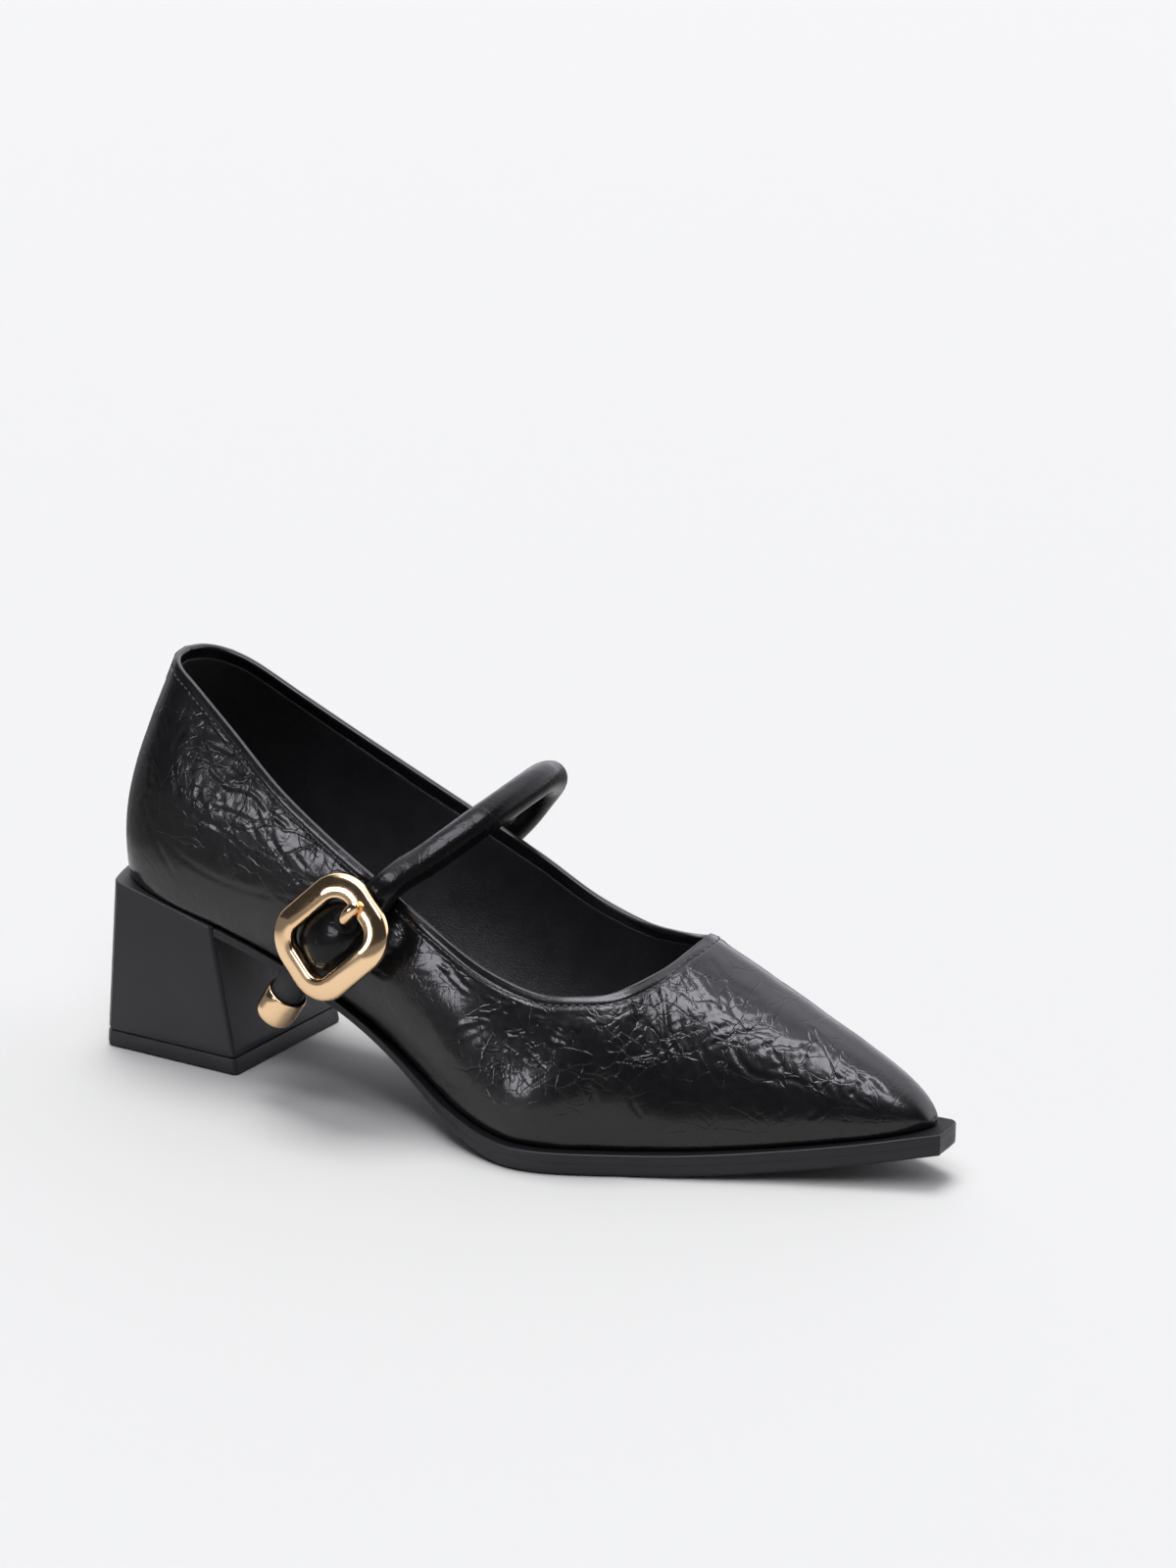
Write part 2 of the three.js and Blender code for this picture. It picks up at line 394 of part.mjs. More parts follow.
// the tail follows the quarter as it turns in to the waist, and ends in the cup
const RIM = [69.4, -30.2, 31.5], HANG = new THREE.Vector3(-0.556, 0.007, -0.831).normalize().toArray();
for (const [x, y, z, w, h] of [[76.1, -31.6, 41.8, 4.9, 3.5], [72.8, -31.1, 37.0, 4.7, 4.3], [...RIM, TAIL_R, TAIL_R],
  [...RIM.map((c, i) => c + 4 * HANG[i]), TAIL_R, TAIL_R]]) {
  STRAP.push({ p: [x, y, z], w, h });
}
function sweep(nodes, sub, ring, name, material) {
  const n = nodes.length, path = [];
  const cr = (a, b, c, d, t) => 0.5 * (2 * b + (c - a) * t + (2 * a - 5 * b + 4 * c - d) * t * t + (3 * b - a - 3 * c + d) * t * t * t);
  for (let i = 0; i < n - 1; i++) for (let k = 0; k < sub; k++) {
    const t = k / sub, A = nodes[Math.max(0, i - 1)], B = nodes[i], C = nodes[i + 1], D = nodes[Math.min(n - 1, i + 2)];
    path.push({ p: [0, 1, 2].map(j => cr(A.p[j], B.p[j], C.p[j], D.p[j], t)), w: cr(A.w, B.w, C.w, D.w, t), h: cr(A.h, B.h, C.h, D.h, t) });
  }
  path.push(nodes[n - 1]);
  const S = new Shell(), rings = [], m = path.length;
  for (let i = 0; i < m; i++) {
    const a = path[Math.max(0, i - 1)].p, b = path[Math.min(m - 1, i + 1)].p, P = path[i].p;
    const T = new THREE.Vector3(b[0] - a[0], b[1] - a[1], b[2] - a[2]).normalize();
    // thickness direction: away from the foot, fading smoothly from flank to instep
    const out = new THREE.Vector3(0.05, clamp((P[1] - 6) / 30, -1, 1), 0.35 + 0.9 * (1 - Math.abs(clamp((P[1] - 6) / 34, -1, 1)))).normalize();
    const W = T.clone().cross(out).normalize(), H = W.clone().cross(T).normalize();
    rings.push(Array.from({ length: ring }, (_, k) => {
      const q = 2 * Math.PI * k / ring, c = Math.cos(q) * path[i].w, s = Math.sin(q) * path[i].h;
      return S.v([P[0] + W.x * c + H.x * s, P[1] + W.y * c + H.y * s, P[2] + W.z * c + H.z * s]);
    }));
  }
  for (let i = 0; i < m - 1; i++) for (let k = 0; k < ring; k++) {
    const l = (k + 1) % ring; S.q(rings[i][k], rings[i][l], rings[i + 1][l], rings[i + 1][k]);
  }
  const c0 = S.v(path[0].p), c1 = S.v(path[m - 1].p);
  for (let k = 0; k < ring; k++) { const l = (k + 1) % ring; S.t(c0, rings[0][l], rings[0][k]); S.t(c1, rings[m - 1][k], rings[m - 1][l]); }
  // make sure it faces outwards
  let vol = 0;
  for (const [a, b, c] of S.f) {
    const A = S.p[a], B = S.p[b], C = S.p[c];
    vol += A[0] * (B[1] * C[2] - B[2] * C[1]) - A[1] * (B[0] * C[2] - B[2] * C[0]) + A[2] * (B[0] * C[1] - B[1] * C[0]);
  }
  if (vol < 0) S.f = S.f.map(([a, b, c]) => [a, c, b]);
  add(name, S.geometry(), material);
  return path;
}
sweep(STRAP, 3, 12, 'strap', MAT.leather);

// ------------------------------------------------------------ ferrule
// a turned cup: distance along its axis from the rim, and radius
{
  const D = new THREE.Vector3(...HANG), U = D.clone().cross(new THREE.Vector3(0, 1, 0)).normalize(), V = D.clone().cross(U);
  const R = FERRULE_R, L = FERRULE_L, n = 28, S = new Shell();
  const profile = [[4.6, TAIL_R + 0.4], [0, TAIL_R + 0.4], [0, R - 0.15], [0.3, R], [L * 0.6, R], [L - 1.6, R - 0.15], [L - 0.6, R - 0.8], [L - 0.1, R - 2.0]];
  const at = (k, r, a) => RIM.map((c, i) => c + D.getComponent(i) * k + (U.getComponent(i) * Math.cos(a) + V.getComponent(i) * Math.sin(a)) * r);
  const rings = profile.map(([k, r]) => Array.from({ length: n }, (_, j) => S.v(at(k, r, 2 * Math.PI * j / n))));
  for (let i = 0; i < rings.length - 1; i++) for (let j = 0; j < n; j++) {
    const l = (j + 1) % n; S.q(rings[i][j], rings[i][l], rings[i + 1][l], rings[i + 1][j]);
  }
  const a = S.v(at(4.6, 0, 0)), b = S.v(at(L, 0, 0)), e = rings[rings.length - 1];
  for (let j = 0; j < n; j++) { const l = (j + 1) % n; S.t(a, rings[0][l], rings[0][j]); S.t(b, e[j], e[l]); }
  add('strap_ferrule', S.geometry(), MAT.gold);
}

// ------------------------------------------------------------ buckle
// rounded-rectangle ring, domed, tilted to lie along the strap on the quarter
const BUCKLE_C = new THREE.Vector3(89.0, -37.3, 53.4);
const BN = new THREE.Vector3(0.02, -1, 0.13).normalize();
const B1 = new THREE.Vector3(0.725, 0, 0.69); B1.addScaledVector(BN, -B1.dot(BN)).normalize();
const B2 = BN.clone().cross(B1).normalize();
const onBuckle = (a, b, n) => BUCKLE_C.clone().addScaledVector(B1, a).addScaledVector(B2, b).addScaledVector(BN, n).toArray();
{
  const S = new Shell(), hl = (BUCKLE_L - BUCKLE_BAR) / 2, hw = (BUCKLE_W - BUCKLE_BAR) / 2, R = 7.8, loop = [];
  for (const [cx, cy, a0] of [[hl - R, hw - R, 0], [-(hl - R), hw - R, 90], [-(hl - R), -(hw - R), 180], [hl - R, -(hw - R), 270]]) {
    for (let k = 0; k <= 8; k++) { const a = (a0 + 90 * k / 8) * D2R; loop.push([cx + R * Math.cos(a), cy + R * Math.sin(a), Math.cos(a), Math.sin(a)]); }
  }
  const ring = 12, rings = loop.map(([a, b, ca, sa]) => Array.from({ length: ring }, (_, k) => {
    const q = 2 * Math.PI * k / ring, c = Math.cos(q) * BUCKLE_BAR / 2, s = Math.sin(q) * (Math.sin(q) > 0 ? BUCKLE_T * 0.62 : BUCKLE_T * 0.38);
    // the ring follows the quarter's roundness a little
    const bend = -0.012 * (a * a) * 0.5;
    return S.v(onBuckle(a + ca * c, b + sa * c, s + bend));
  }));
  const m = rings.length;
  for (let i = 0; i < m; i++) for (let k = 0; k < ring; k++) {
    const j = (i + 1) % m, l = (k + 1) % ring; S.q(rings[i][k], rings[j][k], rings[j][l], rings[i][l]);
  }
  add('buckle_frame', S.geometry(), MAT.gold);
}
{
  const at = (a, n, r) => ({ p: onBuckle(a, 0.3, n), w: r, h: r });
  sweep([at(10.0, 2.2, 1.1), at(8.6, 2.8, 1.2), at(7.0, 2.8, 1.15), at(5.8, 2.4, 0.8)], 2, 10, 'buckle_prong', MAT.gold);
}

export default group;
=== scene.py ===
# Pointed-toe mary jane pump, right shoe: the visual model.
# Lengths in the tables are millimetres, X = 0 at the heel tread's back corners,
# +Y the inner side, Z = 0 the floor.  at() turns them into the row's metres.
import bpy
import math
import numpy as np
from mathutils import Vector, Matrix
from mathutils.bvhtree import BVHTree


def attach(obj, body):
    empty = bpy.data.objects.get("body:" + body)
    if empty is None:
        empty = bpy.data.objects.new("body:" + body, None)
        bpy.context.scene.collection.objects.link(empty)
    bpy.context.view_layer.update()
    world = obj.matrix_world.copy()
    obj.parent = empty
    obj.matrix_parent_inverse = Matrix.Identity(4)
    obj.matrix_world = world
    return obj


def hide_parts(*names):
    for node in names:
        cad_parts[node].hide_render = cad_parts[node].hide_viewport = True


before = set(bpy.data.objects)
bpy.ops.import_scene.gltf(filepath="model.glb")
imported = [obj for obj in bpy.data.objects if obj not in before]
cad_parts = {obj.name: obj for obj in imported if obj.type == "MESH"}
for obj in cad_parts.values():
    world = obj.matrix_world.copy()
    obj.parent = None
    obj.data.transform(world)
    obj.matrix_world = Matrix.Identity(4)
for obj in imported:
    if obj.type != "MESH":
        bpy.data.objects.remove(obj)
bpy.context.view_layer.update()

# ---------------------------------------------------------------- named sizes
MM = 0.001
ORIGIN_X = 23.6
WALL, GAP, INSOLE_T = 1.8, 0.3, 2.4
HEEL_L1, HEEL_HALF, TOP_PIECE = 47.2, 25.7, 4.9
SEAT_BACK, SEAT_FRONT, SEAT_HALF, BACK_SAG = 4.1, 38.4, 24.3, 5.0
SEAT_Z0, SEAT_SLOPE = 51.2, 0.235
BUCKLE_L, BUCKLE_W, BUCKLE_BAR, BUCKLE_T = 35.8, 29.0, 6.8, 4.0
FERRULE_R, FERRULE_L = 5.75, 10.2
THROAT = 14
rng = np.random.default_rng(7)


def unit(a):
    a = np.asarray(a, float)
    return a / np.maximum(np.linalg.norm(a, axis=-1, keepdims=True), 1e-12)


def curve(X, Y):
    X, Y = np.asarray(X, float), np.asarray(Y, float)
    n, d = len(X), np.diff(Y) / np.diff(X)
    m = np.zeros(n)
    m[0], m[-1] = d[0], d[-1]
    for i in range(1, n - 1):
        w = (X[i + 1] - X[i]) / (X[i + 1] - X[i - 1])
        m[i] = d[i - 1] * w + d[i] * (1 - w)

    def f(x):
        x = np.clip(np.asarray(x, float), X[0], X[-1])
        i = np.clip(np.searchsorted(X, x, side="right") - 1, 0, n - 2)
        h = X[i + 1] - X[i]
        t = (x - X[i]) / h
        t2, t3 = t * t, t * t * t
        return (2 * t3 - 3 * t2 + 1) * Y[i] + (t3 - 2 * t2 + t) * h * m[i] + (3 * t2 - 2 * t3) * Y[i + 1] + (t3 - t2) * h * m[i + 1]
    return f


# x, underside height, thickness, lateral edge, medial edge
SOLE = np.array([
    [39.2, 39.9, 2.8, -24.0, 24.0], [50, 36.6, 2.8, -23.2, 22.4], [62, 32.5, 2.8, -22.6, 20.6],
    [75, 27.8, 2.8, -22.6, 19.3], [88, 22.6, 2.8, -23.8, 19.1], [100, 17.2, 2.9, -26.2, 20.6],
    [110, 12.1, 3.2, -29.0, 23.2], [118, 8.1, 3.9, -32.0, 26.3], [126, 4.6, 4.9, -35.1, 29.6],
    [134, 2.0, 5.7, -37.6, 32.8], [141, 0.6, 6.15, -39.3, 35.3], [148, 0.0, 6.3, -40.1, 37.2],
    [156, 0.0, 6.3, -38.8, 38.7], [166, 0.0, 6.3, -34.6, 39.3], [176, 0.0, 6.3, -29.3, 38.5],
    [188, 0.4, 6.3, -23.4, 36.1], [200, 1.25, 6.3, -17.2, 33.4], [212, 2.5, 6.3, -10.9, 30.9],
    [224, 4.15, 6.3, -5.0, 28.3], [234, 5.75, 6.3, 0.0, 25.8], [243, 7.5, 6.3, 4.5, 22.9],
    [248.5, 8.65, 6.3, 6.9, 20.8], [251.2, 9.2, 6.3, 8.1, 19.7]])
_low = curve(SOLE[:, 0], SOLE[:, 1])
sole_t = curve(SOLE[:, 0], SOLE[:, 2])
sole_l, sole_m = curve(SOLE[:, 0], SOLE[:, 3]), curve(SOLE[:, 0], SOLE[:, 4])


def sole_bottom(x):
    return np.maximum(0, _low(x))


def seat_z(x):
    return SEAT_Z0 - SEAT_SLOPE * (x - 3)


def support(x):
    x = np.asarray(x, float)
    a, b = seat_z(x), sole_bottom(x) + sole_t(x)
    k = np.clip((x - SEAT_FRONT) / 4, 0, 1)
    return np.where(x <= SEAT_FRONT, a, np.where(x < SEAT_FRONT + 4, a * (1 - k) + b * k, b))


# columns: xf yf xt yt zt o1 u1 o2 d2 af at, as in the CAD
LAT = np.array([
    [-0.8, 0, 14.0, 0, 115.8, 3.2, 24, 8.0, 20, 180, 180],
    [1.8, -13.2, 15.6, -6.8, 115.1, 3.4, 24, 7.8, 20, 212, 210],
    [9.4, -20.9, 20.0, -11.2, 113.1, 4.0, 23, 7.8, 20, 242, 238],
    [22.0, -23.5, 27.5, -13.7, 109.3, 5.2, 21, 8.4, 20, 266, 262],
    [38.0, -23.2, 42.0, -16.7, 99.5, 6.6, 19, 8.0, 18, 270, 270],
    [56.0, -21.9, 60.0, -20.7, 87.1, 7.6, 17, 6.0, 16, 270, 270],
    [75.0, -21.0, 78.0, -22.4, 76.0, 8.4, 15, 4.4, 14, 270, 270],
    [94.0, -22.4, 96.0, -23.5, 66.2, 8.2, 13, 3.6, 12, 270, 270],
    [112.0, -27.0, 113.0, -24.6, 57.2, 7.0, 12, 3.6, 11, 272, 270],
    [130.0, -33.6, 130.0, -25.0, 48.8, 4.6, 11, 5.4, 10, 274, 270],
    [146.0, -37.2, 146.5, -24.6, 44.7, 3.2, 11, 7.4, 8.6, 279, 270],
    [158.0, -35.2, 158.4, -22.4, 45.2, 2.8, 12, 8.6, 7.8, 290, 270],
    [168.6, -30.2, 168.4, -17.6, 47.0, 2.6, 14, 9.6, 7.4, 297, 270],
    [177.6, -25.5, 175.3, -5.6, 51.1, 2.4, 16.5, 12.0, 6.2, 298, 270],
    [186.0, -21.4, 179.8, 9.4, 56.8, 2.2, 19, 15.0, 1.0, 298, 270],
    [196.0, -16.4, 190.0, 11.0, 51.5, 1.9, 18.5, 13.8, 0.4, 298, 270],
    [206.0, -11.2, 201.0, 12.3, 45.5, 1.7, 17, 12.0, 0, 298, 270],
    [216.0, -6.2, 212.5, 13.3, 39.5, 1.5, 14.6, 10.2, 0, 298, 270],
    [225.4, -1.5, 223.5, 14.1, 34.1, 1.3, 12.2, 8.3, 0, 298, 270],
    [233.4, 2.6, 232.5, 14.7, 29.2, 1.1, 9.8, 6.4, 0, 298, 270],
    [239.4, 6.2, 239.2, 15.0, 24.8, 0.9, 7.4, 4.7, 0, 300, 270],
    [243.4, 9.4, 243.4, 15.0, 21.0, 0.7, 5.0, 3.2, 0, 304, 270],
    [245.7, 12.2, 245.7, 15.0, 17.6, 0.5, 2.4, 1.7, 0, 315, 270],
    [246.5, 15.0, 246.5, 15.0, 14.9, 0, 0, 0, 0, 360, 270]])
MED = np.array([
    [-0.8, 0, 14.0, 0, 115.8, 3.2, 24, 8.0, 20, 180, 180],
    [1.8, 13.2, 15.6, 6.8, 115.2, 3.4, 24, 7.8, 20, 148, 150],
    [9.4, 20.8, 20.0, 11.6, 113.4, 4.0, 23, 7.8, 20, 118, 122],
    [22.0, 23.1, 27.5, 14.9, 109.9, 5.4, 21, 8.0, 20, 93, 97],
    [38.0, 22.2, 42.0, 19.0, 100.9, 7.0, 19, 6.4, 18, 90, 90],
    [56.0, 20.0, 60.0, 23.0, 90.5, 8.6, 18, 4.4, 16, 90, 90],
    [75.0, 18.0, 78.0, 26.8, 80.4, 10.0, 17, 2.6, 14, 90, 90],
    [94.0, 18.2, 96.0, 30.1, 70.7, 11.4, 15, 2.0, 12, 90, 90],
    [112.0, 22.0, 113.0, 33.2, 61.4, 10.6, 13, 1.8, 11, 89, 90],
    [130.0, 28.9, 130.0, 34.9, 52.0, 7.4, 12, 2.6, 10, 88, 90],
    [147.0, 34.4, 146.0, 34.5, 47.3, 4.6, 12, 4.6, 9, 86, 90],
    [161.0, 36.5, 157.5, 31.5, 47.6, 3.4, 13, 6.6, 7.6, 83, 90],
    [173.0, 36.1, 168.0, 26.2, 50.0, 2.8, 15, 8.6, 6.4, 79, 90],
    [184.0, 34.2, 175.6, 18.6, 53.4, 2.4, 17, 10.4, 4.6, 77, 90],
    [193.0, 32.2, 179.8, 9.4, 56.8, 2.2, 19, 12.6, 1.0, 77, 90],
    [202.0, 30.2, 190.0, 11.0, 51.5, 1.9, 18.5, 11.0, 0.4, 77, 90],
    [211.0, 28.3, 201.0, 12.3, 45.5, 1.7, 17, 9.4, 0, 77, 90],
    [220.0, 26.4, 212.5, 13.3, 39.5, 1.5, 14.6, 7.8, 0, 76, 90],
    [228.4, 24.5, 223.5, 14.1, 34.1, 1.3, 12.2, 6.2, 0, 74, 90],
    [235.4, 22.7, 232.5, 14.7, 29.2, 1.1, 9.8, 4.8, 0, 70, 90],
    [240.6, 20.8, 239.2, 15.0, 24.8, 0.9, 7.4, 3.5, 0, 64, 90],
    [244.0, 19.0, 243.4, 15.0, 21.0, 0.7, 5.0, 2.3, 0, 56, 90],
    [245.9, 17.2, 245.7, 15.0, 17.6, 0.5, 2.4, 1.3, 0, 45, 90],
    [246.5, 15.0, 246.5, 15.0, 14.9, 0, 0, 0, 0, 0, 90]])
LAST = len(LAT) - 1


def rows_at(side, s):
    A, B = (LAT, MED) if side < 0 else (MED, LAT)
    s = np.clip(np.atleast_1d(np.asarray(s, float)), 0, LAST)
    i = np.minimum(LAST - 1, np.floor(s).astype(int))
    t = (s - i)[:, None]
    p1, p2 = A[i], A[i + 1]
    p0 = np.where((i > 0)[:, None], A[np.maximum(i - 1, 0)], 2 * p1 - p2)
    p3 = np.where((i < LAST - 1)[:, None], A[np.minimum(i + 2, LAST)], 2 * p2 - p1)
    top = slice(2, 5)
    p3[:, top] = np.where((i == THROAT - 1)[:, None], B[i][:, top], p3[:, top])
    p0[:, top] = np.where((i == THROAT)[:, None], (2 * p1 - p2)[:, top], p0[:, top])
    return 0.5 * (2 * p1 + (p2 - p0) * t + (2 * p0 - 5 * p1 + 4 * p2 - p3) * t * t + (3 * p1 - p0 - 3 * p2 + p3) * t * t * t)


def upper_pt(side, s, v):
    """Outside of the upper for equally long arrays s (row) and v (height 0..1)."""
    s, v = np.broadcast_arrays(np.atleast_1d(np.asarray(s, float)), np.atleast_1d(np.asarray(v, float)))
    r = rows_at(side, s)
    q = rows_at(-side, s)
    r[:, 2:5] = np.where((s >= THROAT)[:, None], (r[:, 2:5] + q[:, 2:5]) / 2, r[:, 2:5])
    xf, yf, xt, yt, zt, o1, u1, o2, d2, af, at_ = r.T
    af, at_ = np.radians(af), np.radians(at_)
    zf = support(xf) + GAP
    w = 1 - v
    P0 = np.stack([xf, yf, zf], 1)
    P1 = np.stack([xf + o1 * np.cos(af), yf + o1 * np.sin(af), zf + u1], 1)
    P2 = np.stack([xt + o2 * np.cos(at_), yt + o2 * np.sin(at_), zt - d2], 1)
    P3 = np.stack([xt, yt, zt], 1)
    return (w ** 3)[:, None] * P0 + (3 * w * w * v)[:, None] * P1 + (3 * w * v * v)[:, None] * P2 + (v ** 3)[:, None] * P3


def upper_nm(side, s, v):
    s, v = np.broadcast_arrays(np.atleast_1d(np.asarray(s, float)), np.atleast_1d(np.asarray(v, float)))
    e = 0.02
    a = upper_pt(side, np.clip(s + e, 0, LAST - 0.01), v) - upper_pt(side, np.clip(s - e, 0, LAST - 0.05), v)
    b = upper_pt(side, s, np.clip(v + e, 0, 1)) - upper_pt(side, s, np.clip(v - e, 0, 1))
    n = unit(np.cross(a, b))
    return n if side < 0 else -n


def wall_at(side, x, z):
    s, v = 6.0, 0.5
    for _ in range(60):
        P, Ps, Pv = upper_pt(side, [s, s + 0.02, s], [v, v, v + 0.01])
        a, b, c, d = (Ps[0] - P[0]) / 0.02, (Pv[0] - P[0]) / 0.01, (Ps[2] - P[2]) / 0.02, (Pv[2] - P[2]) / 0.01
        det, ex, ez = a * d - b * c, x - P[0], z - P[2]
        s = float(np.clip(s + 0.7 * (ex * d - b * ez) / det, 0, LAST - 1))
        v = float(np.clip(v + 0.7 * (a * ez - c * ex) / det, 0, 1.3))
    return upper_pt(side, s, v)[0], upper_nm(side, s, min(max(v, 0.02), 0.98))[0], s, v


def on_wall(side, x, z, off):
    P, n, _, _ = wall_at(side, x, z)
    return np.array([x, P[1], z]) + n * off


def at(P):
    """Drawing millimetres to the row frame's metres."""
    P = np.asarray(P, float)
    return (P - np.array([ORIGIN_X, 0, 0])) * MM


def make(name, verts, faces, mat, slot, smooth=True, merge=0.0):
    me = bpy.data.meshes.new(name)
    verts = np.asarray(verts, float)
    me.from_pydata(verts.tolist(), [], [tuple(int(i) for i in f) for f in faces])
    me.update()
    ob = bpy.data.objects.new(name, me)
    bpy.context.scene.collection.objects.link(ob)
    me.materials.append(mat)
    if smooth:
        me.polygons.foreach_set("use_smooth", [True] * len(me.polygons))
    ob["slot_name"] = slot
    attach(ob, "root")
    return ob


def weld(verts, faces, tol=0.004):
    """Merge vertices that share a place (mm) and drop faces that collapse."""
    key = np.round(np.asarray(verts) / tol).astype(np.int64)
    _, first, inv = np.unique(key, axis=0, return_index=True, return_inverse=True)
    inv = inv.ravel()
    out = []
    for f in faces:
        g = []
        for i in f:
            j = int(inv[i])
            if j not in g:
                g.append(j)
        if len(g) > 2:
            out.append(g)
    return np.asarray(verts)[first], out, inv


def grid_faces(n, m, base=0, flip=False, close_m=False, close_n=False):
    F = []
    for i in range(n if close_n else n - 1):
        for j in range(m if close_m else m - 1):
            a, b = base + i * m + j, base + ((i + 1) % n) * m + j
            c, d = base + ((i + 1) % n) * m + (j + 1) % m, base + i * m + (j + 1) % m
            F.append((a, d, c, b) if flip else (a, b, c, d))
    return F


def waves(P, seed, lo, hi, n=28):
    """Smooth pseudo-random field: plane waves of lo..hi mm, in about -1..1."""
    r = np.random.default_rng(seed)
    out = np.zeros(len(P))
    for _ in range(n):
        d = unit(r.normal(size=3))
        out += np.sin(P @ d * (2 * math.pi / r.uniform(lo, hi)) + r.uniform(0, 6.28))
    return out / math.sqrt(n)


# ---------------------------------------------------------------- materials
def rgb(*c):
    return (*c, 1.0)


class Nodes:
    def __init__(self, name, color, rough, metal=0.0, coat=0.0, coat_rough=0.1, spec=0.5):
        self.m = bpy.data.materials.new(name)
        self.m.use_nodes = True
        self.t = self.m.node_tree
        self.b = next(n for n in self.t.nodes if n.type == "BSDF_PRINCIPLED")
        self.b.inputs["Base Color"].default_value = rgb(*color)
        self.b.inputs["Roughness"].default_value = rough
        self.b.inputs["Metallic"].default_value = metal
        self.b.inputs["Coat Weight"].default_value = coat
        self.b.inputs["Coat Roughness"].default_value = coat_rough
        self.b.inputs["Specular IOR Level"].default_value = spec
        self.co = self.n("ShaderNodeTexCoord").outputs["Object"]
        self.normal = None
        self.m.diffuse_color = rgb(*color)

    def n(self, kind, **kw):
        x = self.t.nodes.new(kind)
        for k, v in kw.items():
            setattr(x, k, v)
        return x

    def link(self, a, b):
        self.t.links.new(a, b)

    def math(self, op, a, b=None, c=None, clamp=False):
        x = self.n("ShaderNodeMath", operation=op, use_clamp=clamp)
        for i, v in enumerate((a, b, c)):
            if v is None:
                continue
            if isinstance(v, (int, float)):
                x.inputs[i].default_value = v
            else:
                self.link(v, x.inputs[i])
        return x.outputs[0]

    def map(self, v, a, b, c=0.0, d=1.0, smooth=True):
        x = self.n("ShaderNodeMapRange", interpolation_type="SMOOTHSTEP" if smooth else "LINEAR", clamp=True)
        self.link(v, x.inputs["Value"])
        for k, q in (("From Min", a), ("From Max", b), ("To Min", c), ("To Max", d)):
            x.inputs[k].default_value = q
        return x.outputs["Result"]

    def scaled(self, sx, sy, sz, rot=(0, 0, 0), co=None):
        x = self.n("ShaderNodeMapping")
        x.inputs["Scale"].default_value = (sx, sy, sz)
        x.inputs["Rotation"].default_value = rot
        self.link(co or self.co, x.inputs["Vector"])
        return x.outputs["Vector"]

    def noise(self, scale, detail=3, rough=0.55, co=None, dist=0.0, out="Fac"):
        x = self.n("ShaderNodeTexNoise")
        x.inputs["Scale"].default_value = scale
        x.inputs["Detail"].default_value = detail
        x.inputs["Roughness"].default_value = rough
        x.inputs["Distortion"].default_value = dist
        self.link(co or self.co, x.inputs["Vector"])
        return x.outputs[out]

    def warp(self, co, scale, amount):
        c = self.noise(scale, 2, 0.5, co=co, out="Color")
        s = self.n("ShaderNodeVectorMath", operation="SUBTRACT")
        self.link(c, s.inputs[0])
        s.inputs[1].default_value = (0.5, 0.5, 0.5)
        k = self.n("ShaderNodeVectorMath", operation="SCALE")
        self.link(s.outputs[0], k.inputs[0])
        k.inputs["Scale"].default_value = amount
        a = self.n("ShaderNodeVectorMath", operation="ADD")
        self.link(co or self.co, a.inputs[0])
        self.link(k.outputs[0], a.inputs[1])
        return a.outputs[0]

    def cells(self, scale, co, feature="DISTANCE_TO_EDGE", rand=1.0):
        x = self.n("ShaderNodeTexVoronoi", feature=feature)
        x.inputs["Scale"].default_value = scale
        x.inputs["Randomness"].default_value = rand
        self.link(co, x.inputs["Vector"])
        return x.outputs["Distance"]

    def attr(self, name):
        return self.n("ShaderNodeAttribute", attribute_name=name).outputs["Fac"]

    def bump(self, height, dist, strength=1.0):
        x = self.n("ShaderNodeBump")
        x.inputs["Strength"].default_value = strength
        x.inputs["Distance"].default_value = dist
        self.link(height, x.inputs["Height"])
        if self.normal is not None:
            self.link(self.normal, x.inputs["Normal"])
        self.normal = x.outputs["Normal"]

    def tint(self, fac, c0, c1):
        x = self.n("ShaderNodeMix", data_type="RGBA")
        self.link(fac, x.inputs["Factor"])
        x.inputs["A"].default_value = rgb(*c0)
        x.inputs["B"].default_value = rgb(*c1)
        self.link(x.outputs["Result"], self.b.inputs["Base Color"])

    def rough(self, sock):
        self.link(sock, self.b.inputs["Roughness"])

    def done(self, coat=True):
        if self.normal is not None:
            self.link(self.normal, self.b.inputs["Normal"])
            if coat:
                self.link(self.normal, self.b.inputs["Coat Normal"])
        return self.m


